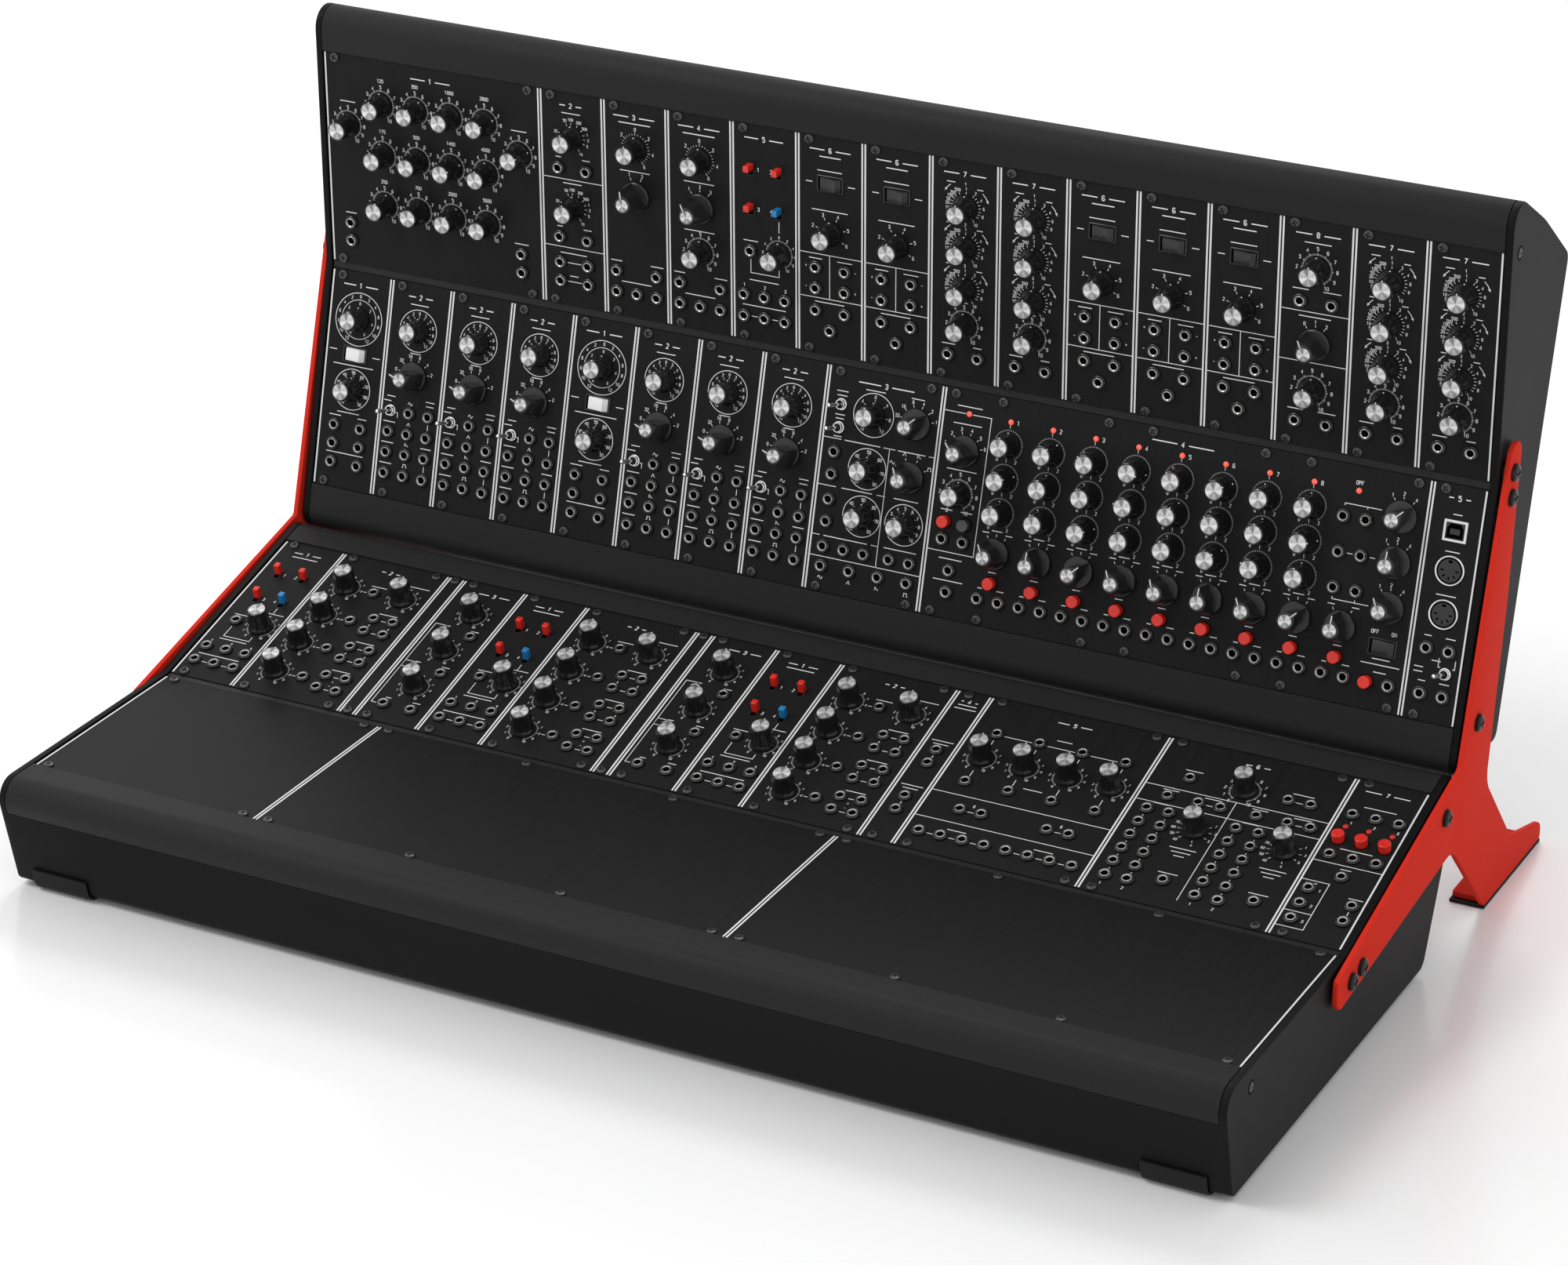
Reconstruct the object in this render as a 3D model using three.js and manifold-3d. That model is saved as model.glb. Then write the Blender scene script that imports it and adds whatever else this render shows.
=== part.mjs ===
// Modular synthesizer: two sloped cases of panel modules, the upper one raised on a pair of side brackets.
// Millimetres, +Z up, +X to the player's right, +Y away from the player.
// The origin is at the centre of the bounding box's bottom face, on the table.
import * as THREE from 'three';
import { mergeVertices } from 'three/addons/utils/BufferGeometryUtils.js';
import Module from 'manifold-3d';

const wasm = await Module();
wasm.setup();

// Module rows: width in horizontal pitches, standard panel height
const pitch = 5.08;
const rowPitches = 140;
const rowWidth = pitch * rowPitches;
const panelHeight = 128.5;
const panelThickness = 2;

// Clearance between neighbouring pieces, and how far a cut runs past what it cuts
const clearance = 0.3;
const overrun = 20;

// Case: one profile, used level for the lower case and tilted for the upper one
const foldAngle = THREE.MathUtils.degToRad(15);
const foldGap = 4.35;
const foldRise = 0.6;
const upperTilt = THREE.MathUtils.degToRad(76);
const upperSetback = 30.3;
const upperRise = 25.8;
const caseDepth = 65;
const wallThickness = 3;
const cheekThickness = 4;
const cheekProud = 1;
const cheekGap = 0.5;
const noseReach = 31.2;
const noseHeight = 18;
const noseRadius = 12;
const noseRelief = 20;
const ledgeWidth = 7;
const ledgeHeight = 10;
const railProud = 0.5;
const frontToe = 15;
const frontToeRadius = 6;
const rearToeInset = 6.6;
const rearToeRadius = 8;
const rearBendReach = 15;
const rearBendDrop = 48;
const rearBendRadius = 120;
const rearLipReach = 33.6;

// Power socket on the lower case's rear wall
const socketRadius = 5.5;
const socketBoreRadius = 2.9;
const socketPinRadius = 1;
const socketStandOut = 3;
const socketInset = 60;

// Rubber feet that wrap the lower case's bottom edges
const footHeight = 3;
const footProud = 1.8;
const footRise = 11;
const footReach = 24;
const footWidth = 36;
const footInset = 12;

// Stand brackets, their bolts and pads
const bracketThickness = 3;
const bracketGap = 1.5;
const armWidth = 22;
const footPlateSetback = 45.6;
const footPlateLength = 91.7;
const footPlateWidth = 20;
const padThickness = 2;
const smallBend = 3;
const armBend = 7.5;
const webBend = 20;
const longBend = 200;
const boltInset = 3.3;
const boltDrop = 11;
const boltRadius = 2.5;
const boltHeadRadius = 4.7;
const boltHeadHeight = 2.3;
const spacerRadius = 6;
const boltRecessRadius = 4;
const boltRecessDepth = 2;

// Boards and supply inside
const boardThickness = 1.6;
const boardDrop = 20;
const boardSideInset = 3;
const boardEndInset = 9.5;
const boardPostWidth = 5;
const busBoardLength = 420;
const busBoardWidth = 60;
const busBoardSetback = 40;
const standoffHeight = 5;
const standoffWidth = 8;
const busHeaderHeight = 9;
const busHeaderWidth = 9;
const busHeaderLength = 26;
const busHeaderCount = 10;
const supplyLength = 150;
const supplyWidth = 70;
const supplyHeight = 30;
const supplyFoldGap = 17.15;
const supplyInset = 90;

// Panel controls
const jackRadius = 3.5;
const jackHeight = 1.4;
const knobRadius = 5;
const knobSkirtRadius = 6.6;
const knobSkirtHeight = 2.4;
const knobHeight = 12.4;
const shaftRadius = 3;
const shaftLength = 8;
const selectorDiscRadius = 8;
const selectorDiscHeight = 1.8;
const selectorBarWidth = 5;
const selectorBarHeight = 11;
const selectorPointLength = 3;
const selectorHubRadius = 3;
const selectorHeight = 14.5;
const rockerBezelLength = 15.6;
const rockerBezelWidth = 9;
const rockerBezelHeight = 0.6;
const rockerReach = 6.9;
const rockerTopReach = 5.7;
const rockerWidth = 7.3;
const rockerTopAngle = THREE.MathUtils.degToRad(31);
const rockerShoulderAngle = THREE.MathUtils.degToRad(5);
const rockerToeAngle = THREE.MathUtils.degToRad(20);
const rockerValley = 2.6;
const rockerPivotDepth = 0.5;
const rockerTilt = THREE.MathUtils.degToRad(10);
const toggleNutRadius = 2.8;
const toggleNutHeight = 2.4;
const toggleBoreRadius = 2.2;
const toggleBallRadius = 1.6;
const toggleLeverRadius = 0.9;
const toggleLeverLength = 12;
const toggleTilt = THREE.MathUtils.degToRad(12);
const slideSlotLength = 6.9;
const slideSlotWidth = 3.2;
const slideCapLength = 3.4;
const slideCapHeight = 4.4;
const buttonRadius = 3.4;
const buttonHeight = 4.8;
const usbPlateWidth = 12.6;
const usbPlateHeight = 11;
const dinRadius = 7.8;
const socketPlateHeight = 0.8;

// How finely round pieces are drawn: joined controls coarsely, moving ones and pins finer
const jackSides = 4;
const knobSides = 6;
const pinSides = 8;
const turnedSides = 12;
const arcSteps = 3;

const finishes = {
  caseBlack: new THREE.MeshStandardMaterial({ color: 0x2b2b2d, roughness: 0.55, metalness: 0.2 }),
  noseGrey: new THREE.MeshStandardMaterial({ color: 0x38383a, roughness: 0.45, metalness: 0.4 }),
  panelBlack: new THREE.MeshStandardMaterial({ color: 0x161617, roughness: 0.5, metalness: 0.5 }),
  bracketRed: new THREE.MeshStandardMaterial({ color: 0xc8301f, roughness: 0.4, metalness: 0.1 }),
  rubber: new THREE.MeshStandardMaterial({ color: 0x101010, roughness: 0.9, metalness: 0 }),
  board: new THREE.MeshStandardMaterial({ color: 0x1d5a34, roughness: 0.6, metalness: 0.1 }),
  supply: new THREE.MeshStandardMaterial({ color: 0x9a9a9c, roughness: 0.4, metalness: 0.8 }),
  knobBlack: new THREE.MeshStandardMaterial({ color: 0x0c0c0c, roughness: 0.25, metalness: 0 }),
  leverSteel: new THREE.MeshStandardMaterial({ color: 0xb8b8ba, roughness: 0.25, metalness: 1 }),
  white: new THREE.MeshStandardMaterial({ color: 0xe8e8e8, roughness: 0.35, metalness: 0 }),
  red: new THREE.MeshStandardMaterial({ color: 0xd8402c, roughness: 0.35, metalness: 0 }),
  blue: new THREE.MeshStandardMaterial({ color: 0x2c6fc4, roughness: 0.35, metalness: 0 }),
  grey: new THREE.MeshStandardMaterial({ color: 0x8a8a8c, roughness: 0.4, metalness: 0 }),
};

// A closed geometry as a solid: shared corners merged, and triangles without area left out
function toSolid(geometry) {
  geometry.deleteAttribute('normal');
  geometry.deleteAttribute('uv');
  const merged = mergeVertices(geometry);
  const corners = merged.index.array;
  const kept = [];
  for (let at = 0; at < corners.length; at += 3) {
    const [a, b, c] = corners.slice(at, at + 3);
    if (a !== b && b !== c && c !== a) kept.push(a, b, c);
  }
  const mesh = new wasm.Mesh({
    numProp: 3,
    vertProperties: new Float32Array(merged.attributes.position.array),
    triVerts: new Uint32Array(kept),
  });
  return new wasm.Manifold(mesh);
}

function toMesh(name, solid, finish) {
  const { vertProperties, triVerts } = solid.getMesh();
  const geometry = new THREE.BufferGeometry();
  geometry.setAttribute('position', new THREE.BufferAttribute(vertProperties, 3));
  geometry.setIndex(new THREE.BufferAttribute(triVerts, 1));
  geometry.computeVertexNormals();
  const mesh = new THREE.Mesh(geometry, finishes[finish]);
  mesh.name = name;
  return mesh;
}

const joined = (solids) => solids.reduce((whole, solid) => whole.add(solid));

function box([lowX, highX], [lowY, highY], [lowZ, highZ]) {
  const geometry = new THREE.BoxGeometry(highX - lowX, highY - lowY, highZ - lowZ);
  geometry.translate((lowX + highX) / 2, (lowY + highY) / 2, (lowZ + highZ) / 2);
  return toSolid(geometry);
}

// An upright cylinder from one height to another
function post(x, y, radius, [low, high], sides) {
  const geometry = new THREE.CylinderGeometry(radius, radius, high - low, sides);
  geometry.rotateX(Math.PI / 2);
  geometry.translate(x, y, (low + high) / 2);
  return toSolid(geometry);
}

// A cylinder along X at a point of a case's side
function sidePin([lowX, highX], { y, z }, radius, sides = knobSides) {
  const geometry = new THREE.CylinderGeometry(radius, radius, highX - lowX, sides);
  geometry.rotateZ(Math.PI / 2);
  geometry.translate((lowX + highX) / 2, y, z);
  return toSolid(geometry);
}

// A bar along X from an outline in the Y-Z plane
function bar(outline, [lowX, highX]) {
  const shape = new THREE.Shape(outline.map(({ x, y }) => new THREE.Vector2(x, y)));
  const geometry = new THREE.ExtrudeGeometry(shape, { depth: highX - lowX, bevelEnabled: false });
  const yAxis = new THREE.Vector3(0, 1, 0);
  const zAxis = new THREE.Vector3(0, 0, 1);
  const xAxis = new THREE.Vector3(1, 0, 0);
  geometry.applyMatrix4(new THREE.Matrix4().makeBasis(yAxis, zAxis, xAxis));
  geometry.translate(lowX, 0, 0);
  return toSolid(geometry);
}

// Corners { y, z, radius } as outline points, each radius drawn as an arc
function roundedOutline(corners) {
  const points = [];
  corners.forEach((corner, index) => {
    const previous = corners[(index + corners.length - 1) % corners.length];
    const next = corners[(index + 1) % corners.length];
    const here = new THREE.Vector2(corner.y, corner.z);
    if (!corner.radius) {
      points.push(here);
      return;
    }
    const back = new THREE.Vector2(previous.y, previous.z).sub(here).normalize();
    const onward = new THREE.Vector2(next.y, next.z).sub(here).normalize();
    const halfAngle = Math.acos(back.dot(onward)) / 2;
    const reach = corner.radius / Math.tan(halfAngle);
    const inward = back.clone().add(onward).normalize();
    const centre = here.clone().addScaledVector(inward, corner.radius / Math.sin(halfAngle));
    const start = here.clone().addScaledVector(back, reach).sub(centre);
    const end = here.clone().addScaledVector(onward, reach).sub(centre);
    const sweep = Math.atan2(start.cross(end), start.dot(end));
    for (let step = 0; step <= arcSteps; step += 1) {
      const spoke = start.clone().rotateAround(new THREE.Vector2(), (sweep * step) / arcSteps);
      points.push(centre.clone().add(spoke));
    }
  });
  return points;
}

// A counter-clockwise outline with each edge moved inward by its own distance
function insetCorners(corners, distances) {
  const lines = corners.map((corner, index) => {
    const next = corners[(index + 1) % corners.length];
    const along = new THREE.Vector2(next.y - corner.y, next.z - corner.z).normalize();
    const inward = new THREE.Vector2(-along.y, along.x);
    const point = new THREE.Vector2(corner.y, corner.z).addScaledVector(inward, distances[index]);
    return { point, along };
  });
  return corners.map((corner, index) => {
    const before = lines[(index + corners.length - 1) % corners.length];
    const after = lines[index];
    const apart = after.point.clone().sub(before.point);
    const travel = apart.cross(after.along) / before.along.cross(after.along);
    const at = before.point.clone().addScaledVector(before.along, travel);
    const radius = Math.max(0, (corner.radius ?? 0) - distances[index]);
    return { y: at.x, z: at.y, radius };
  });
}

// The two rows of a case: where each row's lower edge lies, and how its plane slopes
const frontRow = { y: 0, z: 0, angle: 0 };
const backRow = { y: panelHeight + foldGap, z: foldRise, angle: foldAngle };

// A point along a row's plane and out from it, in the case's Y-Z plane
function rowPoint(row, along, out) {
  const across = Math.cos(row.angle);
  const climb = Math.sin(row.angle);
  return { y: row.y + along * across - out * climb, z: row.z + along * climb + out * across };
}

const rowEnd = rowPoint(backRow, panelHeight, 0);

// The case's side outline, counter-clockwise from the fold between the rows
function caseCorners() {
  const raisedBack = rowPoint(backRow, 0, cheekProud);
  const foldSlide = (cheekProud - raisedBack.z) / Math.tan(foldAngle);
  const lip = rowPoint(backRow, panelHeight + rearLipReach, cheekProud);
  return [
    { y: raisedBack.y + foldSlide, z: cheekProud },
    { y: -noseReach, z: cheekProud, radius: noseRadius },
    { y: -frontToe, z: -caseDepth, radius: frontToeRadius },
    { y: rowEnd.y - rearToeInset, z: -caseDepth, radius: rearToeRadius },
    { y: rowEnd.y + rearBendReach, z: rowEnd.z - rearBendDrop, radius: rearBendRadius },
    { y: lip.y, z: lip.z, radius: noseRadius },
  ];
}

// A rectangle on a row, from one distance along it to another and between two heights
function rowBlock(row, [fromAlong, toAlong], [low, high], span) {
  const corners = [
    rowPoint(row, fromAlong, low),
    rowPoint(row, toAlong, low),
    rowPoint(row, toAlong, high),
    rowPoint(row, fromAlong, high),
  ];
  return bar(roundedOutline(corners), span);
}

const sideMargin = cheekThickness + cheekGap;
const caseSpan = [-sideMargin, rowWidth + sideMargin];
const innerSpan = [-cheekGap, rowWidth + cheekGap];
const betweenCheeks = [clearance - cheekGap, rowWidth + cheekGap - clearance];

// Side screws of a case: at the front, on both sides of the fold, and at the rear
const boltPoints = {
  front: rowPoint(frontRow, boltInset, -boltDrop),
  beforeFold: rowPoint(frontRow, panelHeight - boltInset, -boltDrop),
  afterFold: rowPoint(backRow, boltInset, -boltDrop),
  rear: rowPoint(backRow, panelHeight - boltInset, -boltDrop),
};

const noseZones = {
  front: {
    row: frontRow,
    along: [-noseReach - overrun, ledgeWidth],
    free: [-noseRelief, ledgeWidth + overrun],
  },
  rear: {
    row: backRow,
    along: [panelHeight - ledgeWidth, panelHeight + rearLipReach + overrun],
    free: [panelHeight - ledgeWidth - overrun, panelHeight + noseRelief],
  },
};

function powerSocket() {
  const toe = { y: rowEnd.y - rearToeInset, z: -caseDepth };
  const bend = { y: rowEnd.y + rearBendReach, z: rowEnd.z - rearBendDrop };
  const lean = Math.atan2(bend.y - toe.y, bend.z - toe.z);
  const place = (radius, [low, high]) => {
    const geometry = new THREE.CylinderGeometry(radius, radius, high - low, turnedSides);
    geometry.translate(0, (low + high) / 2, 0);
    geometry.rotateX(-lean);
    geometry.translate(rowWidth - socketInset, (toe.y + bend.y) / 2, (toe.z + bend.z) / 2);
    return toSolid(geometry);
  };
  const ring = place(socketRadius, [-wallThickness / 2, socketStandOut]);
  const bore = place(socketBoreRadius, [0, socketStandOut + overrun]);
  const pin = place(socketPinRadius, [-wallThickness / 2, socketStandOut]);
  return ring.subtract(bore).add(pin);
}

function caseShell(openScrews) {
  const corners = caseCorners();
  const walls = [-overrun, wallThickness, wallThickness, wallThickness, wallThickness, -overrun];
  let shell = bar(roundedOutline(corners), caseSpan);
  shell = shell.subtract(bar(roundedOutline(insetCorners(corners, walls)), innerSpan));
  Object.values(noseZones).forEach(({ row, along }) => {
    shell = shell.subtract(rowBlock(row, along, [-noseHeight, overrun], innerSpan));
  });
  Object.values(boltPoints).forEach((point) => {
    const left = [caseSpan[0] - overrun, innerSpan[0] + clearance];
    const right = [innerSpan[1] - clearance, caseSpan[1] + overrun];
    shell = shell.subtract(sidePin(left, point, boltRadius + clearance));
    shell = shell.subtract(sidePin(right, point, boltRadius + clearance));
  });
  openScrews.forEach((place) => {
    const point = boltPoints[place];
    const left = [caseSpan[0] - overrun, caseSpan[0] + boltRecessDepth];
    const right = [caseSpan[1] - boltRecessDepth, caseSpan[1] + overrun];
    shell = shell.subtract(sidePin(left, point, boltRecessRadius));
    shell = shell.subtract(sidePin(right, point, boltRecessRadius));
  });
  return shell;
}

// A rounded nose along the case's front or rear edge, with the ledge that carries the panels
function caseNose({ row, along, free }) {
  const seat = panelThickness + clearance;
  const frontReach = [-clearance, along[1] + overrun];
  const rearReach = [along[0] - overrun, panelHeight + clearance];
  const reach = along[0] < 0 ? frontReach : rearReach;
  return bar(roundedOutline(caseCorners()), betweenCheeks)
    .intersect(rowBlock(row, along, [clearance - noseHeight, overrun], betweenCheeks))
    .subtract(rowBlock(row, reach, [-seat, overrun], innerSpan))
    .subtract(rowBlock(row, free, [-noseHeight - overrun, -seat - ledgeHeight], innerSpan));
}

// The rail under the fold, which carries the inner edges of both rows
function centreRail() {
  const seat = panelThickness + clearance;
  const corners = [
    rowPoint(frontRow, panelHeight - ledgeWidth, -seat),
    rowPoint(frontRow, panelHeight - ledgeWidth, -seat - ledgeHeight),
    rowPoint(backRow, ledgeWidth, -seat - ledgeHeight),
    rowPoint(backRow, ledgeWidth, -seat),
    rowPoint(backRow, -clearance, -seat),
    rowPoint(backRow, -clearance, -railProud),
    rowPoint(frontRow, panelHeight + clearance, -railProud),
    rowPoint(frontRow, panelHeight + clearance, -seat),
  ];
  return bar(roundedOutline(corners), betweenCheeks);
}

// Places on the stand, in the lower case's Y-Z plane
const upperCase = { y: rowEnd.y + upperSetback, z: rowEnd.z + upperRise, angle: upperTilt };
const onUpperCase = ({ y, z }) => rowPoint(upperCase, y, z);
const floor = -caseDepth - footHeight;
const padTop = floor + padThickness;

// The bracket's corners: an anchor, the corner's place from it as shares of the arm's width, and its bend
function bracketCorners() {
  const lowerFront = boltPoints.beforeFold;
  const lowerRear = boltPoints.rear;
  const upperFront = onUpperCase(boltPoints.front);
  const upperBelow = onUpperCase(boltPoints.beforeFold);
  const upperAbove = onUpperCase(boltPoints.afterFold);
  const footFront = { y: upperCase.y + footPlateSetback, z: padTop };
  const footRear = { y: footFront.y + footPlateLength, z: padTop };
  const cornerShares = [
    [lowerFront, -0.85, 0.37, smallBend],
    [lowerFront, -0.85, -0.5, armBend],
    [lowerRear, 0.7, -1.205, webBend],
    [footFront, 0, 0, smallBend],
    [footRear, 0, 0, smallBend],
    [footRear, 0, 0.486, armBend],
    [footRear, -2.436, 1.164, webBend],
    [upperFront, 1.023, -2.045, webBend],
    [upperBelow, 0.336, -2.71, longBend],
    [upperAbove, 0.514, 0.718, armBend],
    [upperAbove, -0.164, 0.718, armBend],
    [lowerRear, 0.986, 0.841, smallBend],
  ];
  return cornerShares.map(([anchor, yShare, zShare, radius]) => ({
    y: anchor.y + yShare * armWidth,
    z: anchor.z + zShare * armWidth,
    radius,
  }));
}

const footPlateY = [upperCase.y + footPlateSetback, upperCase.y + footPlateSetback + footPlateLength];

// A stretch of X measured outward from a row's end, on the left (-1) or the right (+1)
function outward(side, inner, outer) {
  return side > 0 ? [rowWidth + inner, rowWidth + outer] : [-outer, -inner];
}

function standBracket(side) {
  const inner = sideMargin + bracketGap;
  const outer = inner + bracketThickness;
  const plate = bar(roundedOutline(bracketCorners()), outward(side, inner, outer));
  const flangeZ = [padTop, padTop + bracketThickness];
  const flangeX = outward(side, outer - footPlateWidth, outer);
  const flange = box(flangeX, [footPlateY[0] + smallBend, footPlateY[1] - smallBend], flangeZ);
  const used = [
    boltPoints.beforeFold,
    boltPoints.afterFold,
    boltPoints.rear,
    onUpperCase(boltPoints.front),
    onUpperCase(boltPoints.beforeFold),
    onUpperCase(boltPoints.afterFold),
  ];
  const bolts = used.map((point) => joined([
    sidePin(outward(side, cheekGap + clearance, outer), point, boltRadius),
    sidePin(outward(side, sideMargin + clearance, outer), point, spacerRadius),
    sidePin(outward(side, inner, outer + boltHeadHeight), point, boltHeadRadius, pinSides),
  ]));
  return joined([plate, flange, ...bolts]);
}

function bracketPad(side) {
  const outer = sideMargin + bracketGap + bracketThickness;
  return box(outward(side, outer - footPlateWidth, outer), footPlateY, [floor, padTop - clearance]);
}

function caseFoot(side, atFront) {
  const corners = caseCorners();
  const skin = insetCorners(corners, [0, -footProud, -footHeight, -footProud, 0, 0]);
  const seat = insetCorners(corners, corners.map(() => -clearance));
  const toe = corners[atFront ? 2 : 3];
  const reach = atFront ? [toe.y - overrun, toe.y + footReach] : [toe.y - footReach, toe.y + overrun];
  const span = outward(side, sideMargin - footInset - footWidth, sideMargin - footInset);
  return bar(roundedOutline(skin), span)
    .intersect(box(span, reach, [floor - overrun, -caseDepth + footRise]))
    .subtract(bar(roundedOutline(seat), [span[0] - overrun, span[1] + overrun]));
}

function busBoard() {
  const start = (rowWidth - busBoardLength) / 2;
  const end = start + busBoardLength;
  const low = -caseDepth + wallThickness + clearance;
  const boardLow = low + standoffHeight;
  const boardHigh = boardLow + boardThickness;
  const yRange = [busBoardSetback, busBoardSetback + busBoardWidth];
  const pieces = [box([start, end], yRange, [boardLow, boardHigh])];
  [start, end - standoffWidth].forEach((x) => {
    yRange.forEach((y, index) => {
      const nearY = index ? y - standoffWidth : y;
      pieces.push(box([x, x + standoffWidth], [nearY, nearY + standoffWidth], [low, boardHigh]));
    });
  });
  for (let index = 0; index < busHeaderCount; index += 1) {
    const x = start + (busBoardLength * (index + 1)) / (busHeaderCount + 1) - busHeaderWidth / 2;
    const y = busBoardSetback + (busBoardWidth - busHeaderLength) / 2;
    const header = box(
      [x, x + busHeaderWidth],
      [y, y + busHeaderLength],
      [boardLow, boardHigh + busHeaderHeight],
    );
    pieces.push(header);
  }
  return joined(pieces);
}

function powerSupply() {
  const low = -caseDepth + wallThickness + clearance;
  const left = rowWidth - supplyInset - supplyLength;
  const front = backRow.y + supplyFoldGap;
  return box([left, left + supplyLength], [front, front + supplyWidth], [low, low + supplyHeight]);
}

// Places of the controls on each kind of module: shares of its width, and shares of the panel's height
const grid = (acrossShares, upShares) => upShares.flatMap((up) => acrossShares.map((across) => [across, up]));
const pairShares = [0.28, 0.72];
const tripleShares = [0.18, 0.495, 0.81];
const lowPairShares = [0.203, 0.1155];
const inletShares = [[0.18, 0.2125], [0.81, 0.2125], ...grid(tripleShares, [0.1155])];
const stepShares = [0, 1, 2, 3, 4, 5, 6, 7, 8].map((step) => 0.1459 + 0.08921 * step);
const busJackCount = 18;
const busJackShares = Array.from({ length: busJackCount }, (_, index) => 0.1222 + 0.0446 * index);
const switchRowShares = [0.543, 0.455, 0.369, 0.282, 0.196, 0.109];

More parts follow.
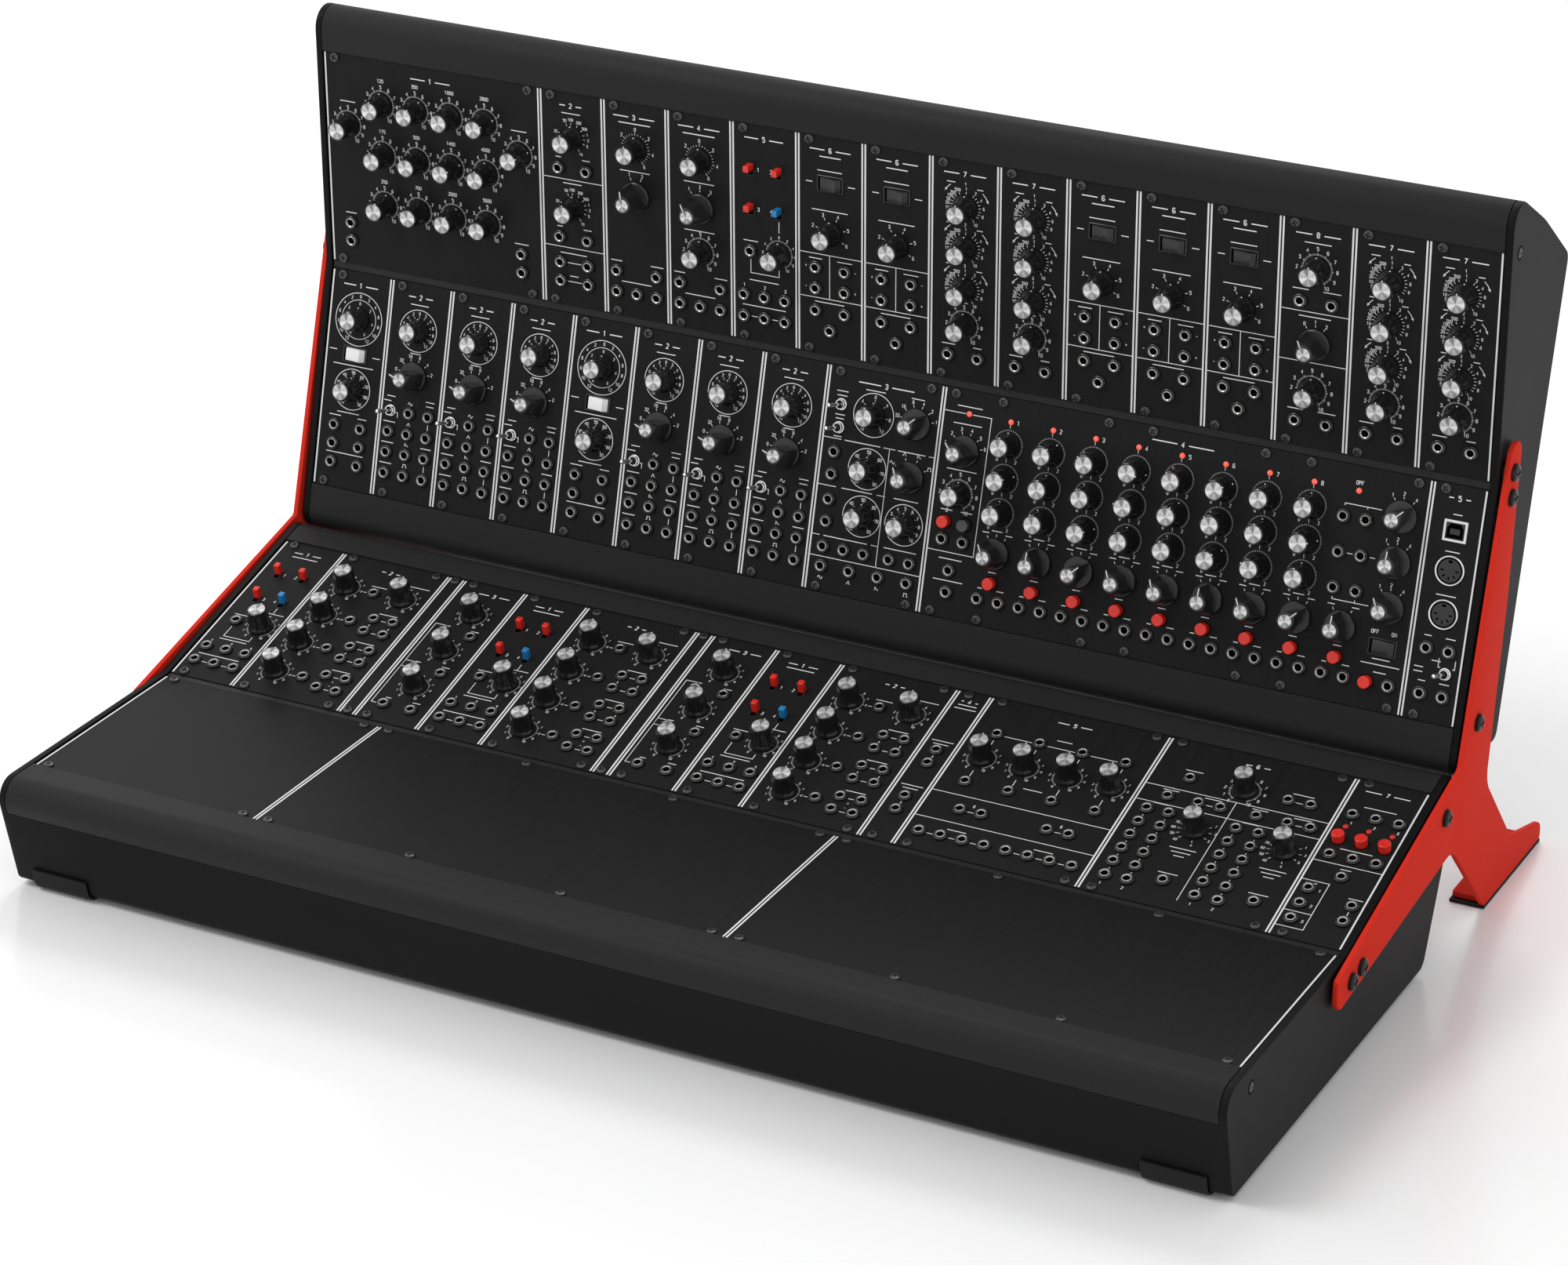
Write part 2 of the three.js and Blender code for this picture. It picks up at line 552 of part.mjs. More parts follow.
const moduleShares = {
  filterBank: {
    pitches: 28,
    knobs: [
      [0.104, 0.669], [0.901, 0.669],
      ...grid([0.2625, 0.423, 0.584, 0.745], [0.789, 0.552, 0.314]),
    ],
    jacks: grid([0.0975, 0.9], [0.202, 0.1155]),
  },
  noiseFilter: {
    pitches: 8,
    knobs: [[0.5, 0.791], [0.5, 0.466]],
    jacks: grid(pairShares, [0.644, 0.3225, 0.203, 0.1155]),
  },
  highPass: { pitches: 8, knobs: [[0.5, 0.791]], selectors: [[0.5, 0.571]], jacks: inletShares },
  lowPass: {
    pitches: 8,
    knobs: [[0.5, 0.791], [0.5, 0.367]],
    selectors: [[0.5, 0.571]],
    jacks: inletShares,
  },
  controlVoltages: {
    pitches: 8,
    slides: grid([0.285, 0.715], [0.794, 0.613]),
    knobs: [[0.715, 0.4225]],
    jacks: [[0.28, 0.4195], ...grid(tripleShares, [0.214, 0.1155])],
  },
  amplifier: {
    pitches: 8,
    rockers: [[0.5, 0.786]],
    knobs: [[0.5, 0.561]],
    jacks: [...grid(pairShares, [0.399, 0.303, 0.202]), [0.5, 0.1155]],
  },
  envelope: {
    pitches: 8,
    knobs: grid([0.51], [0.7875, 0.6055, 0.42, 0.257]),
    jacks: grid(pairShares, [0.115]),
  },
  dualDelay: {
    pitches: 8,
    knobs: [[0.505, 0.788], [0.505, 0.255]],
    selectors: [[0.52, 0.4615]],
    jacks: grid([0.295, 0.733], [0.644, 0.116]),
  },
  oscillatorDriver: {
    pitches: 8,
    knobs: [[0.505, 0.785], [0.505, 0.4615]],
    rockers: [[0.505, 0.623]],
    jacks: grid([0.273, 0.715], [0.2885, 0.203, 0.116]),
  },
  oscillator: {
    pitches: 8,
    knobs: [[0.5, 0.786]],
    selectors: [[0.495, 0.573]],
    toggles: [[0.178, 0.405]],
    jacks: [[0.49, 0.4055], [0.81, 0.4055], ...grid([0.174, 0.49, 0.81], [0.308, 0.213, 0.1155])],
  },
  largeOscillator: {
    pitches: 14,
    toggles: grid([0.14], [0.834, 0.732]),
    knobs: [[0.425, 0.8117], [0.425, 0.574], [0.425, 0.364], [0.792, 0.364]],
    selectors: [[0.794, 0.8085], [0.792, 0.574]],
    jacks: [
      ...grid([0.129], [0.623, 0.524, 0.4125, 0.3145]),
      ...grid([0.127, 0.308, 0.484, 0.705, 0.88], [0.203]),
      ...grid([0.129, 0.378, 0.627, 0.878], [0.1155]),
    ],
  },
  sequencer: {
    pitches: 56,
    knobs: [[0.055, 0.5445], ...grid(stepShares.slice(0, 8), [0.797, 0.649, 0.4995])],
    selectors: [[0.057, 0.735], ...grid(stepShares, [0.3205]), ...grid([0.948], [0.8235, 0.631, 0.4375])],
    buttons: [[0.0345, 0.42], [0.0775, 0.42], ...grid(stepShares, [0.193]), [0.926, 0.1165]],
    rockers: [[0.948, 0.27]],
    jacks: [
      ...grid([0.0327, 0.0776], [0.3425]),
      ...grid([0.0552], [0.211, 0.1155]),
      ...grid(busJackShares, [0.1155]),
      ...grid([0.8362, 0.8812], [0.7825, 0.6305, 0.48]),
      [0.9694, 0.1155],
    ],
  },
  interfacePorts: {
    pitches: 6,
    toggles: [[0.7, 0.214]],
    jacks: grid([0.3, 0.712], [0.309, 0.1165]),
    ports: [[0.515, 0.8085]],
    rounds: grid([0.518], [0.643, 0.4585]),
  },
  oscillatorController: {
    pitches: 8,
    slides: grid([0.293, 0.714], [0.769, 0.586]),
    knobs: [[0.715, 0.404]],
    jacks: [[0.293, 0.41], ...grid([0.188, 0.508, 0.829], [0.21, 0.109])],
  },
  mixer: {
    pitches: 14,
    knobs: [...grid([0.248], [0.778, 0.57, 0.362, 0.153]), [0.779, 0.777]],
    jacks: [
      ...grid([0.506], [0.778, 0.57, 0.3635, 0.156]),
      ...grid([0.68, 0.86], [0.6165, 0.526, 0.407, 0.319, 0.199, 0.112]),
    ],
  },
  spacer: { pitches: 2 },
  attenuators: {
    pitches: 8,
    knobs: grid([0.525], [0.778, 0.515, 0.256]),
    jacks: [...grid([0.725], [0.64, 0.373, 0.108]), ...grid([0.283], [0.64, 0.373, 0.111])],
  },
  noise: { pitches: 4, jacks: grid([0.507], [0.6, 0.5115, 0.289, 0.2]) },
  fourAttenuators: {
    pitches: 21,
    knobs: grid([0.15, 0.387, 0.6255, 0.862], [0.615]),
    jacks: [
      ...grid([0.148, 0.386, 0.624, 0.861], [0.7775, 0.455]),
      ...grid([0.214, 0.332, 0.69, 0.808], [0.284]),
      ...grid([0.0865, 0.205, 0.324, 0.443, 0.562, 0.681, 0.8, 0.919], [0.109]),
    ],
  },
  patchInterface: {
    pitches: 21,
    knobs: [[0.506, 0.776], [0.3835, 0.4785], [0.8585, 0.476]],
    jacks: [
      [0.211, 0.775], [0.736, 0.775], [0.856, 0.775],
      ...grid([0.157, 0.322, 0.441, 0.631, 0.796, 0.917], [0.6415]),
      ...grid([0.0955, 0.213, 0.571, 0.691], switchRowShares),
      ...grid([0.3815, 0.857], [0.1525]),
    ],
  },
  stageSwitch: {
    pitches: 8,
    buttons: grid([0.195, 0.512, 0.831], [0.618]),
    jacks: [
      ...grid([0.195, 0.514, 0.831], [0.7765, 0.519]),
      [0.504, 0.4015],
      ...grid([0.184], [0.2995, 0.2045, 0.109]),
      ...grid([0.83], [0.252, 0.156]),
    ],
  },
};

// The rows, from left to right: each panel piece and the modules that it carries
const rowPlans = {
  upperBack: [
    ['filter_bank_panel', ['filterBank']],
    ['filter_group_panel', ['noiseFilter', 'highPass', 'lowPass', 'controlVoltages']],
    ['amplifier_group_panel', ['amplifier', 'amplifier', 'envelope', 'envelope']],
    ['amplifier_delay_panel', ['amplifier', 'amplifier', 'amplifier', 'dualDelay', 'envelope', 'envelope']],
  ],
  upperFront: [
    ['oscillator_panel_left', ['oscillatorDriver', 'oscillator', 'oscillator', 'oscillator']],
    ['oscillator_panel_right', ['oscillatorDriver', 'oscillator', 'oscillator', 'oscillator']],
    ['large_oscillator_panel', ['largeOscillator']],
    ['sequencer_panel', ['sequencer']],
    ['interface_ports_panel', ['interfacePorts']],
  ],
  lowerBack: [
    ['mixer_panel_left', ['oscillatorController', 'mixer', 'spacer', 'attenuators']],
    [
      'mixer_panel_middle',
      ['oscillatorController', 'mixer', 'spacer', 'attenuators', 'oscillatorController', 'mixer'],
    ],
    ['attenuator_panel', ['noise', 'fourAttenuators']],
    ['patch_interface_panel', ['patchInterface']],
    ['stage_switch_panel', ['stageSwitch']],
  ],
  lowerFront: [
    ['blank_panel_left', [], 28],
    ['blank_panel_middle', [], 56],
    ['blank_panel_right', [], 56],
  ],
};

// Controls with a joint of their own: the panel, which of its modules, the kind, which of that kind,
// its finish where it isn't the usual one, and how far a pointer is turned from straight up, in degrees
const movingControls = [
  ['filter_bank_knob', 'filter_bank_panel', 0, 'knobs', 2],
  ['filter_knob', 'filter_group_panel', 0, 'knobs', 0],
  ['filter_selector', 'filter_group_panel', 1, 'selectors', 0, 'knobBlack', 15],
  ['voltage_slide_red_a', 'filter_group_panel', 3, 'slides', 0, 'red'],
  ['voltage_slide_red_b', 'filter_group_panel', 3, 'slides', 1, 'red'],
  ['voltage_slide_red_c', 'filter_group_panel', 3, 'slides', 2, 'red'],
  ['voltage_slide_blue', 'filter_group_panel', 3, 'slides', 3, 'blue'],
  ['amplifier_rocker', 'amplifier_group_panel', 0, 'rockers', 0, 'knobBlack'],
  ['amplifier_knob', 'amplifier_group_panel', 0, 'knobs', 0],
  ['envelope_knob', 'amplifier_group_panel', 2, 'knobs', 0],
  ['driver_rocker', 'oscillator_panel_left', 0, 'rockers', 0, 'white'],
  ['oscillator_knob', 'oscillator_panel_left', 1, 'knobs', 0],
  ['oscillator_selector', 'oscillator_panel_left', 1, 'selectors', 0, 'knobBlack', 75],
  ['oscillator_toggle', 'oscillator_panel_left', 1, 'toggles', 0],
  ['scale_toggle', 'large_oscillator_panel', 0, 'toggles', 0],
  ['sequencer_knob', 'sequencer_panel', 0, 'knobs', 1],
  ['sequencer_selector', 'sequencer_panel', 0, 'selectors', 1, 'knobBlack', 30],
  ['clock_on_button', 'sequencer_panel', 0, 'buttons', 0, 'red'],
  ['clock_off_button', 'sequencer_panel', 0, 'buttons', 1, 'grey'],
  ['step_button', 'sequencer_panel', 0, 'buttons', 2, 'red'],
  ['shift_button', 'sequencer_panel', 0, 'buttons', 11, 'red'],
  ['timing_rocker', 'sequencer_panel', 0, 'rockers', 0, 'knobBlack'],
  ['mixer_knob', 'mixer_panel_left', 1, 'knobs', 0],
  ['stage_button', 'stage_switch_panel', 0, 'buttons', 0, 'red'],
];

// Radius of a many-sided hole that a round piece can turn in
const runningRadius = (radius, sides) => (radius + clearance) / Math.cos(Math.PI / sides);

const panelFloor = -panelThickness;
const root = -panelThickness / 2;
const slideTravel = slideSlotLength - slideCapLength - 2 * clearance;
const around = (centre, size) => [centre - size / 2, centre + size / 2];

// The fixed form of each kind of control, joined to its panel
const fixedForms = {
  jacks: (x, y) => [post(x, y, jackRadius, [root, jackHeight], jackSides)],
  knobs: (x, y) => [post(x, y, knobRadius, [root, knobHeight], knobSides)],
  selectors: (x, y) => [
    post(x, y, selectorDiscRadius, [root, selectorDiscHeight], pinSides),
    post(x, y, selectorHubRadius, [root, selectorHeight], jackSides),
  ],
  rockers: (x, y) => [
    box(around(x, rockerBezelLength), around(y, rockerBezelWidth), [root, rockerBezelHeight]),
    rockerSolid().translate([x, y, 0]),
  ],
  toggles: (x, y) => [
    post(x, y, toggleNutRadius, [root, toggleNutHeight], knobSides),
    leverRod(jackSides).translate([x, y, 0]),
  ],
  slides: (x, y) => [
    box(around(x, slideSlotWidth), around(y + slideTravel / 2, slideCapLength), [root, slideCapHeight]),
  ],
  buttons: (x, y) => [post(x, y, buttonRadius, [root, buttonHeight], knobSides)],
  ports: (x, y) => [box(around(x, usbPlateWidth), around(y, usbPlateHeight), [root, socketPlateHeight])],
  rounds: (x, y) => [post(x, y, dinRadius, [root, socketPlateHeight], turnedSides)],
};

// What a moving control of each kind adds to its panel, and the hole that it runs in
const through = [panelFloor - overrun / 2, overrun];
const movingSeats = {
  knobs: (x, y) => ({ cut: post(x, y, runningRadius(shaftRadius, turnedSides), through, turnedSides) }),
  selectors: (x, y) => ({ cut: post(x, y, runningRadius(shaftRadius, turnedSides), through, turnedSides) }),
  buttons: (x, y) => ({ cut: post(x, y, runningRadius(buttonRadius, turnedSides), through, turnedSides) }),
  slides: (x, y) => ({ cut: box(around(x, slideSlotWidth), around(y, slideSlotLength), through) }),
  toggles: (x, y) => ({
    add: post(x, y, toggleNutRadius, [root, toggleNutHeight], knobSides),
    cut: post(x, y, toggleBoreRadius, through, pinSides),
  }),
  rockers: (x, y) => ({
    add: box(around(x, rockerBezelLength), around(y, rockerBezelWidth), [root, rockerBezelHeight]),
    cut: box(
      around(x, 2 * (rockerReach + clearance)),
      around(y, rockerWidth + 2 * clearance),
      through,
    ),
  }),
};

function turned(profile) {
  const points = profile.map(([radius, height]) => new THREE.Vector2(radius, height));
  const geometry = new THREE.LatheGeometry(points, turnedSides);
  geometry.rotateX(Math.PI / 2);
  return toSolid(geometry);
}

const knobSolid = () => turned([
  [0, -shaftLength],
  [shaftRadius, -shaftLength],
  [shaftRadius, clearance],
  [knobSkirtRadius, clearance],
  [knobSkirtRadius, knobSkirtHeight],
  [knobRadius, knobSkirtHeight + clearance],
  [knobRadius, knobHeight],
  [0, knobHeight],
]);

function selectorSolid() {
  const body = turned([
    [0, -shaftLength],
    [shaftRadius, -shaftLength],
    [shaftRadius, clearance],
    [selectorDiscRadius, clearance],
    [selectorDiscRadius, selectorDiscHeight],
    [selectorHubRadius, selectorDiscHeight],
    [selectorHubRadius, selectorHeight],
    [0, selectorHeight],
  ]);
  const half = selectorBarWidth / 2;
  const shoulder = selectorDiscRadius - selectorPointLength;
  const pointer = new THREE.Shape([
    new THREE.Vector2(-half, -shoulder),
    new THREE.Vector2(half, -shoulder),
    new THREE.Vector2(half, shoulder),
    new THREE.Vector2(0, selectorDiscRadius),
    new THREE.Vector2(-half, shoulder),
  ]);
  const barGeometry = new THREE.ExtrudeGeometry(pointer, { depth: selectorBarHeight, bevelEnabled: false });
  barGeometry.translate(0, 0, selectorDiscHeight / 2);
  return body.add(toSolid(barGeometry));
}

// The rocker's section lies within a circle round its pivot, so that it tips in a plain slot
function rockerSolid() {
  const spoke = (reach, angle) => new THREE.Vector2(reach * Math.cos(angle), reach * Math.sin(angle));
  const section = new THREE.Shape([
    spoke(rockerReach, -rockerToeAngle),
    spoke(rockerReach, rockerShoulderAngle),
    spoke(rockerTopReach, rockerTopAngle),
    new THREE.Vector2(0, rockerValley),
    spoke(rockerTopReach, Math.PI - rockerTopAngle),
    spoke(rockerReach, Math.PI - rockerShoulderAngle),
    spoke(rockerReach, Math.PI + rockerToeAngle),
  ]);
  const geometry = new THREE.ExtrudeGeometry(section, { depth: rockerWidth, bevelEnabled: false });
  geometry.translate(0, 0, -rockerWidth / 2);
  geometry.rotateZ(rockerTilt);
  geometry.rotateX(Math.PI / 2);
  geometry.translate(0, 0, -rockerPivotDepth);
  return toSolid(geometry);
}

function leverRod(sides) {
  const rod = new THREE.CylinderGeometry(toggleLeverRadius, toggleLeverRadius, toggleLeverLength, sides);
  rod.translate(0, toggleLeverLength / 2, 0);
  rod.rotateX(Math.PI / 2);
  rod.rotateY(-toggleTilt);
  return toSolid(rod);
}

function toggleLever() {
  const ball = new THREE.SphereGeometry(toggleBallRadius, pinSides, pinSides / 2);
  return toSolid(ball).add(leverRod(knobSides));
}

const slideSolid = () => box(
  around(0, slideSlotWidth - 2 * clearance),
  around(slideTravel / 2, slideCapLength),
  [panelFloor, slideCapHeight],
);

const buttonSolid = () => post(0, 0, buttonRadius, [panelFloor, buttonHeight], turnedSides);

const movingSolids = {
  knobs: [knobSolid, 'knobBlack'],
  selectors: [selectorSolid, 'knobBlack'],
  rockers: [rockerSolid, 'knobBlack'],
  toggles: [toggleLever, 'leverSteel'],
  slides: [slideSolid, 'red'],
  buttons: [buttonSolid, 'red'],
};

// The circuit board behind a panel, on its posts
function moduleBoard([start, end]) {
  const low = -boardDrop - boardThickness;
  const boardX = [start + boardSideInset, end - boardSideInset];
  const board = box(boardX, [boardEndInset, panelHeight - boardEndInset], [low, -boardDrop]);
  const middle = around((start + end) / 2, boardPostWidth);
  const posts = [boardEndInset, panelHeight - boardEndInset - boardPostWidth].map((y) => (
    box(middle, [y, y + boardPostWidth], [low, root])
  ));
  return joined([board, ...posts]);
}

function panelPieces([name, kinds, blankPitches], startPitch) {
  const pitches = blankPitches ?? kinds.reduce((sum, kind) => sum + moduleShares[kind].pitches, 0);
  const span = [startPitch * pitch + clearance / 2, (startPitch + pitches) * pitch - clearance / 2];
  const plate = box(span, [0, panelHeight], [panelFloor, 0]);
  const parts = kinds.length ? [plate, moduleBoard(span)] : [plate];
  const cuts = [];
  const meshes = [];
  let moduleStart = startPitch * pitch;
  kinds.forEach((kind, moduleIndex) => {
    const plan = moduleShares[kind];
    const width = plan.pitches * pitch;
    Object.keys(fixedForms).forEach((control) => {
      (plan[control] ?? []).forEach(([across, up], index) => {
        const x = moduleStart + across * width;
        const y = up * panelHeight;
        const moving = movingControls.find(([, panel, which, type, order]) => (
          panel === name && which === moduleIndex && type === control && order === index
        ));
        if (!moving) {
          parts.push(...fixedForms[control](x, y));
          return;
        }
        const seat = movingSeats[control](x, y);
        if (seat.add) parts.push(seat.add);
        cuts.push(seat.cut);
        const [makeSolid, finish] = movingSolids[control];
        const mesh = toMesh(moving[0], makeSolid(), moving[5] ?? finish);
        mesh.position.set(x, y, 0);
        mesh.rotation.z = THREE.MathUtils.degToRad(moving[6] ?? 0);
        meshes.push(mesh);
      });
    });
    moduleStart += width;
  });
  const solid = cuts.reduce((whole, cut) => whole.subtract(cut), joined(parts));
  meshes.unshift(toMesh(name, solid, 'panelBlack'));
  return { meshes, pitches };
}

function rowGroup(row, plan) {
  const group = new THREE.Group();
  group.position.set(0, row.y, row.z);
  group.rotation.x = row.angle;
  let startPitch = 0;
  plan.forEach((entry) => {
    const { meshes, pitches } = panelPieces(entry, startPitch);
    group.add(...meshes);
    startPitch += pitches;
  });
  return group;
}

function caseGroup(label, shell, frontPlan, backPlan) {
  const group = new THREE.Group();
  group.add(toMesh(`${label}_case_shell`, shell, 'caseBlack'));
  group.add(toMesh(`${label}_front_nose`, caseNose(noseZones.front), 'noseGrey'));
  group.add(toMesh(`${label}_rear_nose`, caseNose(noseZones.rear), 'noseGrey'));
  group.add(toMesh(`${label}_centre_rail`, centreRail(), 'caseBlack'));
  group.add(toMesh(`${label}_bus_board`, busBoard(), 'board'));
  group.add(rowGroup(frontRow, frontPlan));
  group.add(rowGroup(backRow, backPlan));
  return group;
}

const synthesizer = new THREE.Group();
const lowerShell = caseShell(['front']).add(powerSocket());
const lowerGroup = caseGroup('lower', lowerShell, rowPlans.lowerFront, rowPlans.lowerBack);
lowerGroup.add(toMesh('power_supply', powerSupply(), 'supply'));
synthesizer.add(lowerGroup);

const upperGroup = caseGroup('upper', caseShell(['rear']), rowPlans.upperFront, rowPlans.upperBack);
upperGroup.position.set(0, upperCase.y, upperCase.z);
upperGroup.rotation.x = upperCase.angle;
synthesizer.add(upperGroup);

[['left', -1], ['right', 1]].forEach(([label, side]) => {
  synthesizer.add(toMesh(`stand_bracket_${label}`, standBracket(side), 'bracketRed'));
  synthesizer.add(toMesh(`bracket_pad_${label}`, bracketPad(side), 'rubber'));
  synthesizer.add(toMesh(`front_foot_${label}`, caseFoot(side, true), 'rubber'));
  synthesizer.add(toMesh(`rear_foot_${label}`, caseFoot(side, false), 'rubber'));
});

synthesizer.updateMatrixWorld(true);
const bounds = new THREE.Box3().setFromObject(synthesizer, true);
const middle = bounds.getCenter(new THREE.Vector3());
synthesizer.position.set(-middle.x, -middle.y, -bounds.min.z);
synthesizer.updateMatrixWorld(true);

export default synthesizer;
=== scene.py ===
"""Looks of the modular synthesizer: two sloped cases of panel modules on a pair of side brackets."""

import math

import bpy
import numpy as np
from mathutils import Matrix, Vector


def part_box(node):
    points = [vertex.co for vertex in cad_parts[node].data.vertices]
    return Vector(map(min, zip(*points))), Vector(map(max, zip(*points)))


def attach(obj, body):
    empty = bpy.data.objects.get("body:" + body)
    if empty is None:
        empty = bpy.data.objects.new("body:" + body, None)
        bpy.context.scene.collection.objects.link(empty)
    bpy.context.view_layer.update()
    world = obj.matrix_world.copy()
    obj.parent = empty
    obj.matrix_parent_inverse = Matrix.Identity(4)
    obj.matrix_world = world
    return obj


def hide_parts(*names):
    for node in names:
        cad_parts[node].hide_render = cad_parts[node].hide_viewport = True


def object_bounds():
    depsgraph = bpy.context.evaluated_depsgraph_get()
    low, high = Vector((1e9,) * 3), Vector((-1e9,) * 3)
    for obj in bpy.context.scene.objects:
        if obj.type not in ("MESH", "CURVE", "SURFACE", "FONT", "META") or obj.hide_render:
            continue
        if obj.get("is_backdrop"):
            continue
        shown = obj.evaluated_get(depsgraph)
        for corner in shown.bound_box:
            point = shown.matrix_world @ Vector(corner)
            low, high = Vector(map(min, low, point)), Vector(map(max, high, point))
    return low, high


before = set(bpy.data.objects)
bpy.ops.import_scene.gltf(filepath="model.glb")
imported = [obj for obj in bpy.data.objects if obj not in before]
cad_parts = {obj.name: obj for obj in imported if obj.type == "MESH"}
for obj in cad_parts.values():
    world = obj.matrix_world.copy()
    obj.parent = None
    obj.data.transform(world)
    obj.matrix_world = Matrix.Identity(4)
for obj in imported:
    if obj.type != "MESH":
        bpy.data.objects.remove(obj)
cad_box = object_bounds()

bl_info = {
    "name": "Modular synthesizer",
    "version": (1, 0, 0),
    "blender": (4, 5, 0),
    "location": "3D View > Sidebar > Synthesizer",
    "description": "Builds the cases, panels and controls of a modular synthesizer",
    "category": "Add Mesh",
}

# Everything below is in millimetres until a piece is made
METRE = 0.001
MAIN_BODY = "synthesizer"

# Rack panels, four rows of them
PITCH = 5.08
ROW_WIDTH = 140 * PITCH
PANEL_HEIGHT = 128.5
PANEL_THICKNESS = 2.0
CLEARANCE = 0.3
SCREW_INSET = 7.5
# The blank panels of the lower front row, from pitch to pitch
BLANK_PANELS = ((0, 28), (28, 84), (84, 140))

# The back row from the front row, and the upper case from the lower one
FOLD_ANGLE = math.radians(15)
FOLD_GAP = 4.35
FOLD_RISE = 0.6
UPPER_TILT = math.radians(76)
UPPER_SETBACK = 30.3
UPPER_RISE = 25.8

# A case: its tub, its cheeks and its rounded noses
CASE_DEPTH = 65.0
WALL = 3.0
CHEEK = 4.0
CHEEK_GAP = 0.5
CHEEK_PROUD = 1.0
SIDE = CHEEK + CHEEK_GAP
NOSE_REACH = 31.2
NOSE_HEIGHT = 18.0
NOSE_ROUNDING = 12
NOSE_CORE = 20.0
LEDGE_REACH = 7.0
LEDGE_THICKNESS = 10.0
REAR_LIP = 33.6
FRONT_TOE = 15
REAR_TOE = 6.6
BACK_BULGE = 15
BACK_BEND = 48

# The stand and the feet
BRACKET_THICKNESS = 3.0
BRACKET_GAP = 1.5
ARM_WIDTH = 22.0
BOLT_INSET = 3.3
BOLT_DROP = 11.0
FOOT_PLATE_SETBACK = 45.6
FOOT_PLATE_LENGTH = 91.7
FOOT_PLATE_WIDTH = 20.0
PAD_THICKNESS = 2.0
FOOT_HEIGHT = 3.0
FOOT_SKIN = 1.8
FOOT_WIDTH = 36.0
FOOT_LENGTH = 24
FOOT_RISE = 11
FOOT_GAP = 12.0

# The run of a slide, and how far print goes into its panel and stands above it
SLIDE_TRAVEL = 2.9
PRINT_SUNK, PRINT_PROUD = -0.02, 0.07
CORNER_STEPS = 3


# ---------------------------------------------------------------- sizes and colours


def length(name, description, millimetres):
    """A length that the sidebar shows."""
    return bpy.props.FloatProperty(name=name, description=description, default=millimetres * METRE, unit="LENGTH")


def tint(name, description, *channels):
    """A colour that the sidebar shows."""
    return bpy.props.FloatVectorProperty(name=name, description=description, default=channels, subtype="COLOR")


class SynthesizerSizes(bpy.types.PropertyGroup):
    """Sizes of the controls and of their printing."""

    knob_height: length("Knob height", "Top of a dial knob above its panel", 13.7)
    selector_height: length("Selector height", "Top of a selector knob above its panel", 16.8)
    jack_radius: length("Socket nut radius", "Radius of a patch socket's nut", 4.05)
    digit_height: length("Figure height", "Height of the scale figures", 1.9)
    line_width: length("Line width", "Width of the printed lines", 0.42)
    screw_radius: length("Screw radius", "Radius of the panel screws", 2.8)


class SynthesizerColours(bpy.types.PropertyGroup):
    """Colours of the main finishes."""

    panel: tint("Panels", "Brushed panels", 0.0095, 0.0095, 0.0099)
    case: tint("Case", "Powder coat of the case", 0.0053, 0.0053, 0.0055)
    nose: tint("Noses", "Rounded edges of the case", 0.0200, 0.0200, 0.0204)
    bracket: tint("Brackets", "Powder coat of the stand", 0.63, 0.030, 0.017)
    knob: tint("Knobs", "Glossy black plastic", 0.0105, 0.0105, 0.0108)
    printing: tint("Printing", "Lines and figures", 0.80, 0.80, 0.80)
    red: tint("Red controls", "Buttons and slide caps", 0.72, 0.022, 0.012)
    blue: tint("Blue controls", "The fourth slide cap", 0.012, 0.19, 0.46)


def size(name):
    """A size that the user can change, in millimetres."""
    return getattr(bpy.context.scene.synthesizer_sizes, name) / METRE


def colours():
    """The colours that the user can change."""
    return bpy.context.scene.synthesizer_colours


# ---------------------------------------------------------------- finishes


class Socket:
    """An output socket in an expression: each operator adds a Math node."""

    def __init__(self, nodes, socket):
        self.nodes, self.socket = nodes, socket

    def output(self, name):
        """Another output of the same node."""
        return Socket(self.nodes, self.socket.node.outputs[name])

    def maths(self, operation, *values):
        return self.nodes.add("ShaderNodeMath", {"operation": operation}, dict(enumerate(values)))

    def sine(self):
        return self.maths("SINE", self)

    def __add__(self, other):
        return self.maths("ADD", self, other)

    def __mul__(self, other):
        return self.maths("MULTIPLY", self, other)


class Nodes:
    """The nodes of a material or of the world."""

    def __init__(self, tree):
        self.tree = tree

    def fill(self, node, inputs):
        """Sets or links some inputs of a node."""
        for key, value in inputs.items():
            if isinstance(value, Socket):
                self.tree.links.new(value.socket, node.inputs[key])
            else:
                node.inputs[key].default_value = value

    def add(self, kind, settings=None, inputs=None, output=0):
        """A new node with its settings and inputs, as one of its outputs."""
        node = self.tree.nodes.new(kind)
        for key, value in (settings or {}).items():
            setattr(node, key, value)
        self.fill(node, inputs or {})
        return Socket(self, node.outputs[output])


